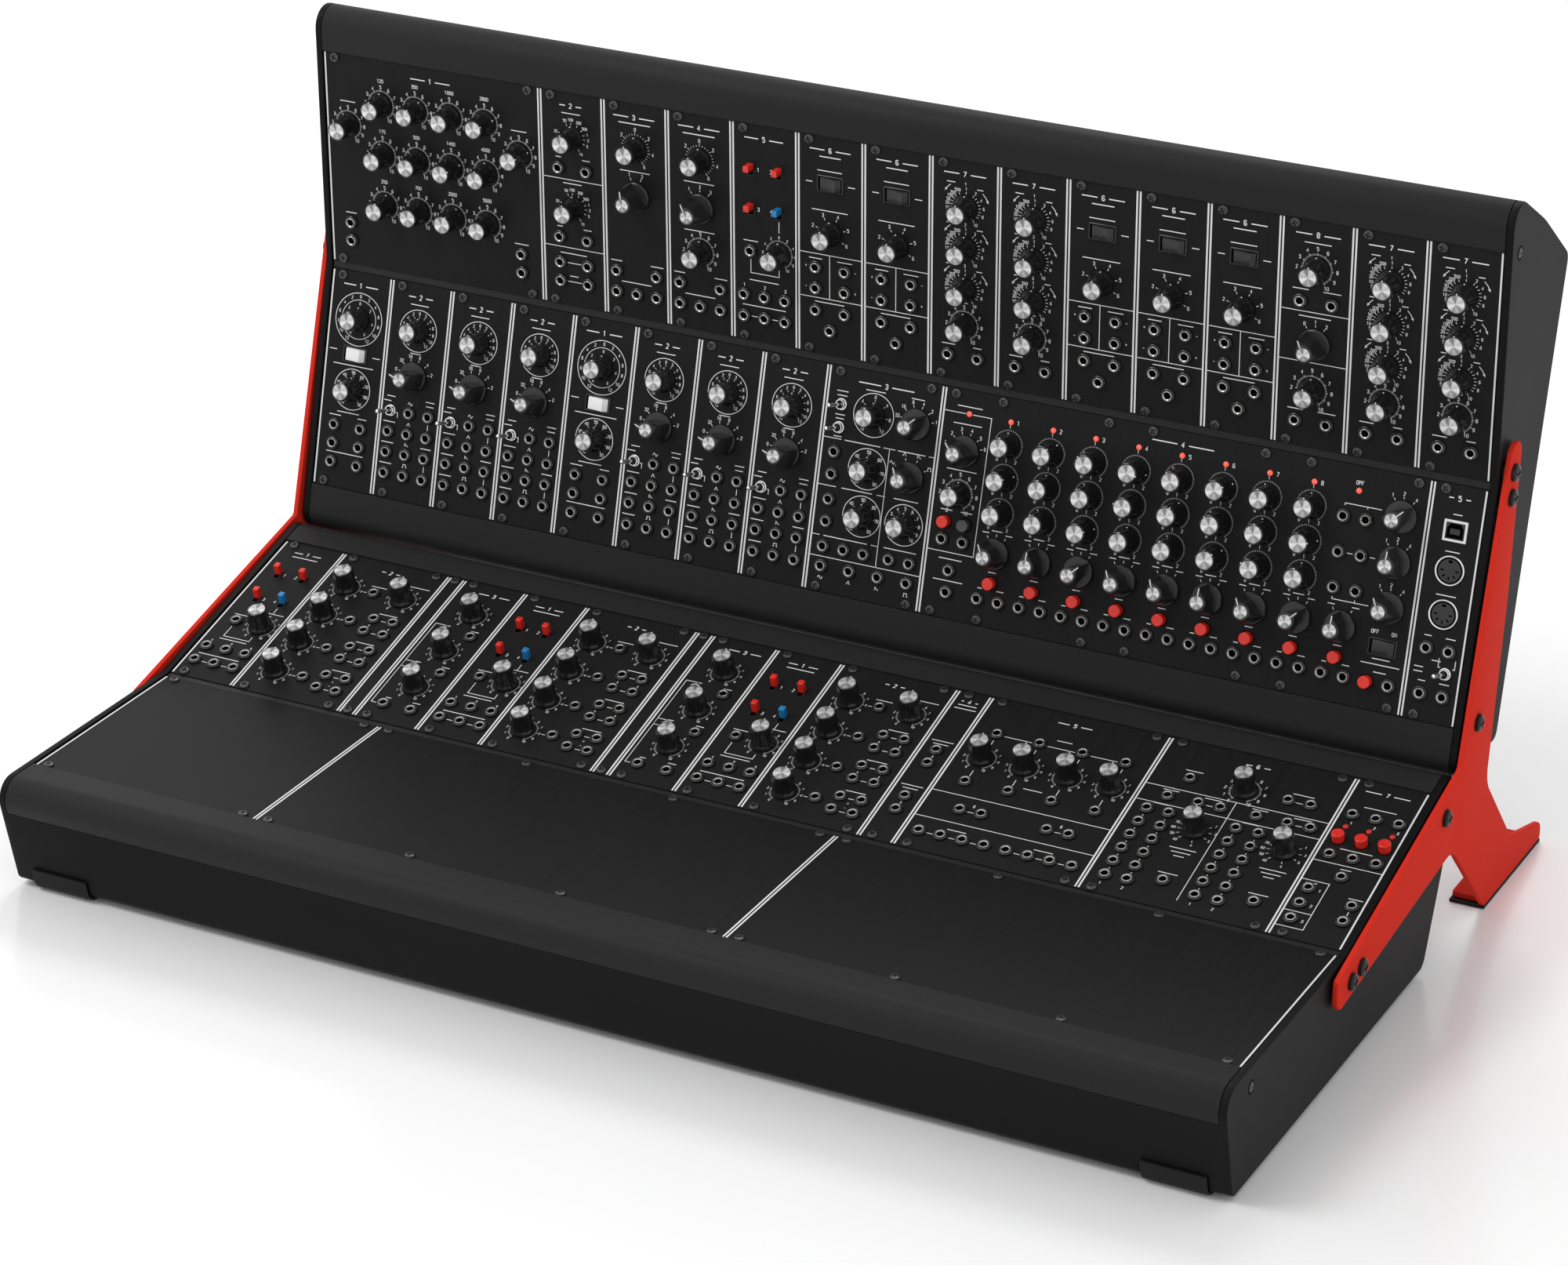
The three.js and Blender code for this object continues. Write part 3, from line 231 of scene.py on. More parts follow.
class Finish(Nodes):
    """One procedural material."""

    def __init__(self, name):
        self.material = bpy.data.materials.new(name)
        self.material.use_nodes = True
        super().__init__(self.material.node_tree)
        self.shader = self.tree.nodes["Principled BSDF"]

    def place(self, stretch=(1, 1, 1)):
        """Object coordinates, in metres, stretched along each axis."""
        spot = self.add("ShaderNodeTexCoord", output="Object")
        return self.add("ShaderNodeVectorMath", {"operation": "MULTIPLY"}, {0: spot, 1: stretch})

    def noise(self, scale, detail=3.0, stretch=(1, 1, 1)):
        inputs = {"Vector": self.place(stretch), "Scale": scale, "Detail": detail}
        return self.add("ShaderNodeTexNoise", {}, inputs)

    def between(self, low, high, factor):
        """A colour between two colours."""
        inputs = {0: factor, 6: (*low, 1), 7: (*high, 1)}
        return self.add("ShaderNodeMix", {"data_type": "RGBA"}, inputs, 2)

    def shades(self, colour, low, high, factor):
        """A colour between two shares of one colour."""
        return self.between(shade(colour, low), shade(colour, high), factor)

    def bump(self, height, strength, distance):
        return self.add("ShaderNodeBump", {}, {"Strength": strength, "Distance": distance, "Height": height})

    def surface(self, inputs):
        """Fills the shader and gives the finished material."""
        self.fill(self.shader, inputs)
        return self.material


def shade(colour, share):
    """A colour times a share, at most white."""
    return tuple(min(1.0, channel * share) for channel in colour)


def brushed_panel(finish):
    """Black anodised sheet, brushed from top to bottom, with a faint grain."""
    streaks = finish.noise(1.0, 4.0, (2600, 26, 26))
    broad = finish.noise(1.0, 2.0, (420, 9, 9))
    grain = finish.noise(1900, 2.0)
    tone = streaks * 0.55 + broad * 0.25 + grain * 0.2
    colour = colours().panel
    return finish.surface({
        "Base Color": finish.shades(colour, 0.45, 1.75, tone),
        "Roughness": tone * 0.3 + 0.32,
        "Specular IOR Level": 0.10,
        "Normal": finish.bump(streaks + grain, 0.22, 0.00012),
    })


def powder_coat(finish, colour, roughness, level):
    """Satin powder coat: a fine orange peel, slightly worn and dusty in broad patches."""
    grain = finish.noise(2300, 3.0)
    peel = finish.noise(700, 2.0)
    cloud = finish.noise(9, 3.0)
    return finish.surface({
        "Base Color": finish.shades(colour, 0.8, 1.22, grain * 0.6 + cloud * 0.4),
        "Roughness": grain * 0.14 + cloud * 0.1 + (roughness - 0.12),
        "Specular IOR Level": level,
        "Normal": finish.bump(grain * 0.5 + peel, 0.3, 0.00016),
    })


def gloss_plastic(finish, colour, roughness, level):
    """Moulded plastic, with fine rubbing marks."""
    marks = finish.noise(520, 4.0, (1, 1, 2.4))
    cloud = finish.noise(60, 2.0)
    return finish.surface({
        "Base Color": finish.shades(colour, 0.82, 1.2, cloud),
        "Roughness": marks * 0.16 + (roughness - 0.08),
        "Specular IOR Level": level,
        "Coat Weight": 0.15,
        "Coat Roughness": 0.12,
        "Normal": finish.bump(marks, 0.12, 0.00005),
    })


def spun_metal(finish, colour, rough):
    """Turned aluminium: rings round the middle, and bright and dark wedges painted round each cap as painted highlights
    and painted shade where the rings' reflections would fall.
    """
    local = finish.add("ShaderNodeAttribute", {"attribute_name": "local"}, output="Vector")
    x = finish.add("ShaderNodeSeparateXYZ", {}, {0: local}, "X")
    y = x.output("Y")
    angle = y.maths("ARCTAN2", y, x)
    # Painted highlight and painted shade: bright and dark wedges by the angle round the cap, with finer lobes
    painted_highlight_wedges = (angle * 2.0 + 0.9).sine()
    fine = (angle * 5.0 + 2.0).sine()
    radius = finish.add("ShaderNodeVectorMath", {"operation": "LENGTH"}, {0: local}, 1)
    rings = (radius * 26.0).sine()
    # The colour's tone is mostly these painted highlights, with a faint real tone from the turned rings
    tone = painted_highlight_wedges * 0.34 + fine * 0.26 + rings * 0.03 + 0.5
    return finish.surface({
        "Base Color": finish.shades(colour, 0.25, 1.0, tone),
        "Metallic": 0.45,
        "Roughness": rings * 0.03 + rough,
        "Normal": finish.bump(rings, 0.05, 0.00002),
    })


def bare_metal(finish, colour, rough):
    """Plated or polished metal, with light handling marks."""
    marks = finish.noise(800, 3.0)
    cloud = finish.noise(90, 2.0)
    return finish.surface({
        "Base Color": finish.shades(colour, 0.8, 1.0, cloud),
        "Metallic": 0.9,
        "Roughness": marks * 0.12 + (rough - 0.06),
        "Normal": finish.bump(marks, 0.08, 0.00004),
    })


def silk_print(finish):
    """Screen-printed ink, a little uneven."""
    grain = finish.noise(1500, 3.0)
    colour = colours().printing
    return finish.surface({
        "Base Color": finish.shades(colour, 0.84, 1.06, grain),
        "Roughness": grain * 0.2 + 0.5,
        "Specular IOR Level": 0.3,
        "Normal": finish.bump(grain, 0.1, 0.00003),
    })


def lamp_lens(finish, colour, glow):
    """A red lamp behind a milky lens, lit or faint."""
    cloud = finish.noise(900, 2.0)
    return finish.surface({
        "Base Color": finish.shades(colour, 0.85, 1.2, cloud),
        "Roughness": cloud * 0.1 + 0.25,
        "Emission Color": (1.0, 0.10, 0.06, 1),
        "Emission Strength": glow,
    })


def circuit_board(finish):
    """Green solder mask over copper tracks."""
    tracks = finish.add("ShaderNodeTexBrick", {}, {
        "Vector": finish.place(), "Scale": 190.0, "Mortar": (0.01, 0.09, 0.03, 1),
        "Color1": (0.015, 0.14, 0.05, 1), "Color2": (0.02, 0.20, 0.07, 1),
    })
    grain = finish.noise(300, 3.0)
    return finish.surface({"Base Color": tracks, "Roughness": grain * 0.2 + 0.3})


def folded_steel(finish):
    """Zinc-plated sheet with a soft spangle."""
    cells = finish.add("ShaderNodeTexVoronoi", {}, {"Vector": finish.place(), "Scale": 160.0}, "Color")
    tone = finish.add("ShaderNodeSeparateColor", {}, {0: cells})
    return finish.surface({
        "Base Color": finish.between((0.35, 0.36, 0.37), (0.62, 0.63, 0.64), tone),
        "Metallic": 0.9,
        "Roughness": tone * 0.2 + 0.3,
    })


FINISHES = {
    "panel_black": (brushed_panel,),
    "case_black": (powder_coat, "case", 0.5, 0.09),
    "nose_grey": (powder_coat, "nose", 0.52, 0.085),
    "bracket_red": (powder_coat, "bracket", 0.6, 0.02),
    "rubber": (powder_coat, (0.010, 0.010, 0.010), 0.78, 0.25),
    "rail_black": (powder_coat, (0.008, 0.008, 0.008), 0.5, 0.3),
    "knob_black": (gloss_plastic, "knob", 0.2, 0.3),
    "selector_black": (gloss_plastic, (0.014, 0.014, 0.0145), 0.4, 0.42),
    "rocker_black": (gloss_plastic, (0.018, 0.018, 0.019), 0.4, 0.35),
    "cap_aluminium": (spun_metal, (0.82, 0.82, 0.82), 0.36),
    "ring_nickel": (bare_metal, (0.44, 0.43, 0.42), 0.24),
    "lever_chrome": (bare_metal, (0.88, 0.88, 0.88), 0.16),
    "nut_black": (gloss_plastic, (0.008, 0.008, 0.008), 0.34, 0.45),
    # Near black, darker than any paint: painted shade, laid as thin sheets in bores, slots and gaps that stand for
    # their depth
    "hole_black": (powder_coat, (0.0008, 0.0008, 0.0008), 0.8, 0.02),
    "screw_black": (gloss_plastic, (0.020, 0.020, 0.021), 0.34, 0.6),
    "bolt_black": (gloss_plastic, (0.012, 0.012, 0.013), 0.36, 0.16),
    "white_plastic": (gloss_plastic, (0.84, 0.84, 0.84), 0.35, 0.45),
    "red_plastic": (gloss_plastic, "red", 0.32, 0.45),
    "blue_plastic": (gloss_plastic, "blue", 0.32, 0.45),
    "grey_plastic": (gloss_plastic, (0.055, 0.055, 0.058), 0.4, 0.4),
    "socket_grey": (gloss_plastic, (0.022, 0.022, 0.023), 0.45, 0.35),
    "printing": (silk_print,),
    "lamp": (lamp_lens, (0.86, 0.13, 0.09), 0.35),
    "faint_lamp": (lamp_lens, (0.55, 0.016, 0.012), 0.04),
    "board": (circuit_board,),
    "supply": (folded_steel,),
}


def finish_of(name):
    """The material of that name, made when it is first asked for."""
    known = bpy.data.materials.get("finish_" + name)
    if known:
        return known
    make, *settings = FINISHES[name]
    settings = [getattr(colours(), s) if isinstance(s, str) else s for s in settings]
    return make(Finish("finish_" + name), *settings)


def refinish(name, finish):
    """Gives its finish to a solid that is shown as it is."""
    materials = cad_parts[name].data.materials
    materials.clear()
    materials.append(finish_of(finish))


# ---------------------------------------------------------------- shapes


def settle(points, faces, finish):
    """A closed shape with its faces turned outward."""
    points = np.asarray(points, float)
    volume = 0.0
    for face in faces:
        first = points[face[0]]
        for a, b in zip(face[1:-1], face[2:]):
            volume += np.dot(first, np.cross(points[a], points[b]))
    if volume < 0:
        faces = [tuple(reversed(face)) for face in faces]
    return points, faces, finish


def loft(rings, finish, loop=False):
    """A closed shape through rings of equally many points. With loop, the last ring meets the first."""
    count, around = len(rings), len(rings[0])
    faces = []
    for a in range(count if loop else count - 1):
        b = (a + 1) % count
        for i in range(around):
            j = (i + 1) % around
            faces.append((a * around + i, a * around + j, b * around + j, b * around + i))
    if not loop:
        faces.append(tuple(reversed(range(around))))
        faces.append(tuple(range((count - 1) * around, count * around)))
    return settle(np.concatenate([np.asarray(ring, float) for ring in rings]), faces, finish)


def turned(profile, sides, finish, loop=False, flutes=0, turn=0.0):
    """A turned shape. Each profile point is (radius, height) or (radius, height, depth of its flutes)."""
    angles = np.arange(sides) * math.tau / sides + turn
    groove = 0.5 - 0.5 * np.cos(angles * flutes) if flutes else np.zeros(sides)
    rings = []
    for radius, height, *depth in profile:
        reach = radius - groove * (depth[0] if depth else 0.0)
        rings.append(np.stack([reach * np.cos(angles), reach * np.sin(angles), np.full(sides, height)], 1))
    return loft(rings, finish, loop)


def ribbon(path, width, finish="printing", high=PRINT_PROUD, closed=False):
    """A flat line along a path on a panel."""
    path = np.asarray(path, float)
    before = np.roll(path, 1, 0)
    after = np.roll(path, -1, 0)
    if not closed:
        before[0], after[-1] = 2 * path[0] - path[1], 2 * path[-1] - path[-2]
    forward = after - path
    backward = path - before
    forward /= np.linalg.norm(forward, axis=1, keepdims=True)
    backward /= np.linalg.norm(backward, axis=1, keepdims=True)
    side = forward + backward
    side /= np.maximum(np.linalg.norm(side, axis=1, keepdims=True), 1e-6)
    mitre = width / 2 / np.maximum(np.sum(side * forward, 1, keepdims=True), 0.5)
    normal = np.stack([-side[:, 1], side[:, 0]], 1) * mitre
    rings = []
    for point, out in zip(path, normal):
        left, right = point + out, point - out
        rings.append([(*left, PRINT_SUNK), (*right, PRINT_SUNK), (*right, high), (*left, high)])
    return loft(rings, finish, closed)


def spot(x, y, z=0.0, turn=0.0):
    """A place on a row, turned by some degrees."""
    return Matrix.Translation((x, y, z)) @ Matrix.Rotation(math.radians(turn), 4, "Z")


def moved(shapes, matrix):
    """Shapes carried to another place."""
    matrix = np.array(matrix)
    return [(points @ matrix[:3, :3].T + matrix[:3, 3], faces, finish) for points, faces, finish in shapes]


def at_height(outline, height):
    """A ring of a flat outline at a height."""
    return np.column_stack([outline, np.full(len(outline), height)])


def quarter_turns(steps):
    """The angles from nothing to a right angle."""
    return [math.pi / 2 * step / steps for step in range(steps + 1)]


def slab(outline, low, high, finish, bevel=0.0, steps=2):
    """An upright prism on a flat outline, with its upper edge rounded."""
    levels = [(bevel * (1 - math.cos(a)), high - bevel * (1 - math.sin(a))) for a in quarter_turns(steps)]
    levels = [(0.0, low), *(levels if bevel else [(0.0, high)])]
    return loft([at_height(inset(outline, by), z) for by, z in levels], finish)


def frame_shape(inner, outer, levels, finish):
    """A flat frame between two outlines: levels are its foot, its outer edge and its top."""
    foot, edge, top = levels
    rings = [(inner, foot), (outer, foot), (outer, edge)]
    if top > edge:
        rings.append((inset(outer, top - edge), top))
    return loft([at_height(outline, z) for outline, z in (*rings, (inner, top))], finish, True)


def inset(outline, distance):
    """An outline with each corner moved inward."""
    outline = np.asarray(outline, float)
    if not distance:
        return outline
    before, after = np.roll(outline, 1, 0), np.roll(outline, -1, 0)
    area = np.sum(outline[:, 0] * after[:, 1] - outline[:, 1] * after[:, 0])
    one, two = outline - before, after - outline
    one /= np.linalg.norm(one, axis=1, keepdims=True)
    two /= np.linalg.norm(two, axis=1, keepdims=True)
    mean = one + two
    mean /= np.maximum(np.linalg.norm(mean, axis=1, keepdims=True), 1e-6)
    reach = distance / np.maximum(np.sum(mean * two, 1, keepdims=True), 0.4)
    return outline + np.sign(area) * np.stack([-mean[:, 1], mean[:, 0]], 1) * reach


def rectangle(width, height, radius=0.0):
    """A rectangle round the origin, with rounded corners."""
    points = []
    for quarter, (sx, sy) in enumerate([(1, 1), (-1, 1), (-1, -1), (1, -1)]):
        x, y = sx * (width / 2 - radius), sy * (height / 2 - radius)
        for turn in quarter_turns(CORNER_STEPS) if radius else (0,):
            angle = math.pi / 2 * quarter + turn
            points.append((x + radius * math.cos(angle), y + radius * math.sin(angle)))
    return np.array(points)


class Piece:
    """One mesh piece, gathered from closed shapes."""

    def __init__(self, name):
        self.name = name
        self.points, self.local, self.faces, self.slots, self.finishes = [], [], [], [], []
        self.count = 0

    def add(self, shapes, matrix=None):
        for (points, _, _), (place, faces, finish) in zip(shapes, moved(shapes, matrix or Matrix())):
            if finish not in self.finishes:
                self.finishes.append(finish)
            self.points.append(place)
            self.local.append(points)
            self.faces.extend([tuple(i + self.count for i in face) for face in faces])
            self.slots.extend([self.finishes.index(finish)] * len(faces))
            self.count += len(points)
        return self

    def make(self, body=MAIN_BODY, replaces=(), slot=None, sharp=32):
        """The Blender object, riding on its body."""
        mesh = bpy.data.meshes.new(self.name)
        mesh.from_pydata((np.concatenate(self.points) * METRE).tolist(), [], self.faces)
        for finish in self.finishes:
            mesh.materials.append(finish_of(finish))
        mesh.polygons.foreach_set("material_index", self.slots)
        mesh.polygons.foreach_set("use_smooth", [True] * len(self.faces))
        local = mesh.attributes.new("local", "FLOAT_VECTOR", "POINT")
        local.data.foreach_set("vector", np.concatenate(self.local).astype(np.float32).ravel())
        mesh.set_sharp_from_angle(angle=math.radians(sharp))
        mesh.update()
        made = bpy.data.objects.new(self.name, mesh)
        bpy.context.scene.collection.objects.link(made)
        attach(made, body)
        if replaces:
            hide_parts(*replaces)
        return made


# ---------------------------------------------------------------- places

panel_low, panel_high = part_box("blank_panel_left")
ORIGIN = Vector((-ROW_WIDTH / 2, panel_low.y / METRE, panel_high.z / METRE))
BACK_ROW = Matrix.Translation((0, PANEL_HEIGHT + FOLD_GAP, FOLD_RISE)) @ Matrix.Rotation(FOLD_ANGLE, 4, "X")
ROW_END = BACK_ROW @ Vector((0, PANEL_HEIGHT, 0))
LOWER_CASE = Matrix.Translation(ORIGIN)
UPPER_PLACE = Matrix.Translation((0, ROW_END.y + UPPER_SETBACK, ROW_END.z + UPPER_RISE))
UPPER_PLACE = UPPER_PLACE @ Matrix.Rotation(UPPER_TILT, 4, "X")
UPPER_CASE = LOWER_CASE @ UPPER_PLACE
ROWS = {
    "lower_front": LOWER_CASE,
    "lower_back": LOWER_CASE @ BACK_ROW,
    "upper_front": UPPER_CASE,
    "upper_back": UPPER_CASE @ BACK_ROW,
}


def grid(across, up):
    """Places in rows and columns."""
    return [(a, u) for u in up for a in across]


PAIR = (0.28, 0.72)
TRIPLE = (0.18, 0.495, 0.81)
INLETS = [(0.18, 0.2125), (0.81, 0.2125), *grid(TRIPLE, (0.1155,))]
STEPS = [0.1459 + 0.08921 * step for step in range(9)]
BUS = [0.1222 + 0.0446 * index for index in range(18)]
SWITCH_ROWS = (0.543, 0.455, 0.369, 0.282, 0.196, 0.109)

# Each kind of module: its width in pitches, and the places of its controls as shares of width and height
MODULES = {
    "filter_bank": {
        "pitches": 28,
        "knobs": [(0.104, 0.669), (0.901, 0.669), *grid((0.2625, 0.423, 0.584, 0.745), (0.789, 0.552, 0.314))],
        "jacks": grid((0.0975, 0.9), (0.202, 0.1155)),
    },
    "noise_filter": {
        "pitches": 8,
        "knobs": [(0.5, 0.791), (0.5, 0.466)],
        "jacks": grid(PAIR, (0.644, 0.3225, 0.203, 0.1155)),
    },
    "high_pass": {"pitches": 8, "knobs": [(0.5, 0.791)], "selectors": [(0.5, 0.571)], "jacks": INLETS},
    "low_pass": {"pitches": 8, "knobs": [(0.5, 0.791), (0.5, 0.367)], "selectors": [(0.5, 0.571)], "jacks": INLETS},
    "control_voltages": {
        "pitches": 8,
        "slides": grid((0.285, 0.715), (0.794, 0.613)),
        "knobs": [(0.715, 0.4225)],
        "jacks": [(0.28, 0.4195), *grid(TRIPLE, (0.214, 0.1155))],
    },
    "amplifier": {
        "pitches": 8,
        "rockers": [(0.5, 0.786)],
        "knobs": [(0.5, 0.561)],
        "jacks": [*grid(PAIR, (0.399, 0.303, 0.202)), (0.5, 0.1155)],
    },
    "envelope": {"pitches": 8, "knobs": grid((0.51,), (0.7875, 0.6055, 0.42, 0.257)), "jacks": grid(PAIR, (0.115,))},
    "delay": {
        "pitches": 8,
        "knobs": [(0.505, 0.788), (0.505, 0.255)],
        "selectors": [(0.52, 0.4615)],
        "jacks": grid((0.295, 0.733), (0.644, 0.116)),
    },
    "driver": {
        "pitches": 8,
        "knobs": [(0.505, 0.785), (0.505, 0.4615)],
        "rockers": [(0.505, 0.623)],
        "jacks": grid((0.273, 0.715), (0.2885, 0.203, 0.116)),
    },
    "oscillator": {
        "pitches": 8,
        "knobs": [(0.5, 0.786)],
        "selectors": [(0.495, 0.573)],
        "toggles": [(0.178, 0.405)],
        "jacks": [(0.49, 0.4055), (0.81, 0.4055), *grid((0.174, 0.49, 0.81), (0.308, 0.213, 0.1155))],
    },
    "large_oscillator": {
        "pitches": 14,
        "toggles": grid((0.14,), (0.834, 0.732)),
        "knobs": [(0.425, 0.8117), (0.425, 0.574), (0.425, 0.364), (0.792, 0.364)],
        "selectors": [(0.794, 0.8085), (0.792, 0.574)],
        "jacks": [
            *grid((0.129,), (0.623, 0.524, 0.4125, 0.3145)),
            *grid((0.127, 0.308, 0.484, 0.705, 0.88), (0.203,)),
            *grid((0.129, 0.378, 0.627, 0.878), (0.1155,)),
        ],
    },
    "sequencer": {
        "pitches": 56,
        "knobs": [(0.055, 0.5445), *grid(STEPS[:8], (0.797, 0.649, 0.4995))],
        "selectors": [(0.057, 0.735), *grid(STEPS, (0.3205,)), *grid((0.948,), (0.8235, 0.631, 0.4375))],
        "buttons": [(0.0345, 0.42), (0.0775, 0.42), *grid(STEPS, (0.193,)), (0.926, 0.1165)],
        "rockers": [(0.948, 0.27)],
        "jacks": [
            *grid((0.0327, 0.0776), (0.3425,)),
            *grid((0.0552,), (0.211, 0.1155)),
            *grid(BUS, (0.1155,)),
            *grid((0.8362, 0.8812), (0.7825, 0.6305, 0.48)),
            (0.9694, 0.1155),
        ],
    },
    "ports": {
        "pitches": 6,
        "toggles": [(0.7, 0.214)],
        "jacks": grid((0.3, 0.712), (0.309, 0.1165)),
        "square_ports": [(0.515, 0.8085)],
        "round_ports": grid((0.518,), (0.643, 0.4585)),
    },
    "controller": {
        "pitches": 8,
        "slides": grid((0.293, 0.714), (0.769, 0.586)),
        "knobs": [(0.715, 0.404)],
        "jacks": [(0.293, 0.41), *grid((0.188, 0.508, 0.829), (0.21, 0.109))],
    },
    "mixer": {
        "pitches": 14,
        "knobs": [*grid((0.248,), (0.778, 0.57, 0.362, 0.153)), (0.779, 0.777)],
        "jacks": [
            *grid((0.506,), (0.778, 0.57, 0.3635, 0.156)),
            *grid((0.68, 0.86), (0.6165, 0.526, 0.407, 0.319, 0.199, 0.112)),
        ],
    },
    "spacer": {"pitches": 2},
    "attenuators": {
        "pitches": 8,
        "knobs": grid((0.525,), (0.778, 0.515, 0.256)),
        "jacks": [*grid((0.725,), (0.64, 0.373, 0.108)), *grid((0.283,), (0.64, 0.373, 0.111))],
    },
    "noise": {"pitches": 4, "jacks": grid((0.507,), (0.6, 0.5115, 0.289, 0.2))},
    "four_attenuators": {
        "pitches": 21,
        "knobs": grid((0.15, 0.387, 0.6255, 0.862), (0.615,)),
        "jacks": [
            *grid((0.148, 0.386, 0.624, 0.861), (0.7775, 0.455)),
            *grid((0.214, 0.332, 0.69, 0.808), (0.284,)),
            *grid((0.0865, 0.205, 0.324, 0.443, 0.562, 0.681, 0.8, 0.919), (0.109,)),
        ],
    },
    "patch_interface": {
        "pitches": 21,
        "knobs": [(0.506, 0.776), (0.3835, 0.4785), (0.8585, 0.476)],
        "jacks": [
            (0.211, 0.775), (0.736, 0.775), (0.856, 0.775),
            *grid((0.157, 0.322, 0.441, 0.631, 0.796, 0.917), (0.6415,)),
            *grid((0.0955, 0.213, 0.571, 0.691), SWITCH_ROWS),
            *grid((0.3815, 0.857), (0.1525,)),
        ],
    },
    "stage_switch": {
        "pitches": 8,
        "buttons": grid((0.195, 0.512, 0.831), (0.618,)),
        "jacks": [
            *grid((0.195, 0.514, 0.831), (0.7765, 0.519)),
            (0.504, 0.4015),
            *grid((0.184,), (0.2995, 0.2045, 0.109)),
            *grid((0.83,), (0.252, 0.156)),
        ],
    },
}

ROW_MODULES = {
    "upper_back": ["filter_bank", "noise_filter", "high_pass", "low_pass", "control_voltages", "amplifier", "amplifier",
                   "envelope", "envelope", "amplifier", "amplifier", "amplifier", "delay", "envelope", "envelope"],
    "upper_front": ["driver", "oscillator", "oscillator", "oscillator", "driver", "oscillator", "oscillator",
                    "oscillator", "large_oscillator", "sequencer", "ports"],
    "lower_back": ["controller", "mixer", "spacer", "attenuators", "controller", "mixer", "spacer", "attenuators",
                   "controller", "mixer", "noise", "four_attenuators", "patch_interface", "stage_switch"],
}

# Where selectors and dial knobs point, in degrees to the left of straight up; the others point straight up
TURNS = {
    "selectors": {
        "high_pass": [15],
        "low_pass": [33],
        "delay": [30],
        "oscillator": [75],
        "large_oscillator": [-45, 30],
        "sequencer": [45, 30, 0, -45, 27, 25, 0, 30, -45, 0, -45, 0, 30],
    },
    "knobs": {
        "filter_bank": [20, -67, 0, -30, 45, -66, 10, 40, -66, 0, -15, 60, -26, 110],
        "sequencer": [
            0, 0, -36, 47, -98, 30, -60, 10, 0, -67, 0, 22, 76, -20, 40, 0, -80, 0, 20, -70, 0, 15, -45, 60, 0,
        ],
    },
}

# Controls in the second of two finishes: the fourth slides, the drivers' rockers and the sequencer's off button
SECOND_FINISH = {
    ("slides", "control_voltages", 3), ("slides", "controller", 3), ("rockers", "driver", 0),
    ("buttons", "sequencer", 1),
}

# Controls that move on their own: the row, the place of their module in it, the kind and the place in that kind
MOVING = {
    ("upper_back", 0, "knobs", 2): "filter_bank_knob",
    ("upper_back", 1, "knobs", 0): "filter_knob",
    ("upper_back", 2, "selectors", 0): "filter_selector",
    ("upper_back", 4, "slides", 0): "voltage_slide_red_a",
    ("upper_back", 4, "slides", 1): "voltage_slide_red_b",
    ("upper_back", 4, "slides", 2): "voltage_slide_red_c",
    ("upper_back", 4, "slides", 3): "voltage_slide_blue",
    ("upper_back", 5, "rockers", 0): "amplifier_rocker",
    ("upper_back", 5, "knobs", 0): "amplifier_knob",
    ("upper_back", 7, "knobs", 0): "envelope_knob",
    ("upper_front", 0, "rockers", 0): "driver_rocker",
    ("upper_front", 1, "knobs", 0): "oscillator_knob",
    ("upper_front", 1, "selectors", 0): "oscillator_selector",
    ("upper_front", 1, "toggles", 0): "oscillator_toggle",
    ("upper_front", 8, "toggles", 0): "scale_toggle",
    ("upper_front", 9, "knobs", 1): "sequencer_knob",
    ("upper_front", 9, "selectors", 1): "sequencer_selector",
    ("upper_front", 9, "buttons", 0): "clock_on_button",
    ("upper_front", 9, "buttons", 1): "clock_off_button",
    ("upper_front", 9, "buttons", 2): "step_button",
    ("upper_front", 9, "buttons", 11): "shift_button",
    ("upper_front", 9, "rockers", 0): "timing_rocker",
    ("lower_back", 1, "knobs", 0): "mixer_knob",
    ("lower_back", 13, "buttons", 0): "stage_button",
}


def modules(row):
    """Each module of a row: its place in the row, its kind, where it starts and its width."""
    start = 0.0
    for place, kind in enumerate(ROW_MODULES[row]):
        width = MODULES[kind]["pitches"] * PITCH
        yield place, kind, start, width
        start += width


def control_points(kind, sort):
    """The places of one sort of controls on a kind of module, in millimetres."""
    width = MODULES[kind]["pitches"] * PITCH
    return [(across * width, up * PANEL_HEIGHT) for across, up in MODULES[kind].get(sort, [])]


def controls(sort):
    """Each control of a sort: its row, its module's kind, its number on the module, its point and its own name."""
    for row in ROW_MODULES:
        for place, kind, start, _ in modules(row):
            for index, (x, y) in enumerate(control_points(kind, sort)):
                yield row, kind, index, start + x, y, MOVING.get((row, place, sort, index))


def place_controls(sort, group_name, versions, still=()):
    """Puts each fixed control into one piece a row, and makes each moving one a piece of its own.

    Versions are the shapes in the first and the second finish. Still shapes stay on the panel round each control.
    """
    groups = {}
    for row, kind, index, x, y, name in controls(sort):
        at = ROWS[row] @ spot(x, y)
        turns = TURNS.get(sort, {}).get(kind)
        shapes = versions[(sort, kind, index) in SECOND_FINISH]
        shapes = moved(shapes, spot(0, 0, 0, turns[index] if turns else 0))
        group = groups.setdefault(row, Piece(f"{group_name}_{row}"))
        group.add(still, at)
        if name:
            Piece(name + "_form").add(shapes, at).make(name, [name])
        else:
            group.add(shapes, at)
    for group in groups.values():
        if group.count:
            group.make()


# ---------------------------------------------------------------- cases


def flat(vector):
    """The side view of a point."""
    return np.array([vector.y, vector.z])


def back_point(along, out):
    """A point on the back row, in the case's side view."""
    return flat(BACK_ROW @ Vector((0, along, out)))


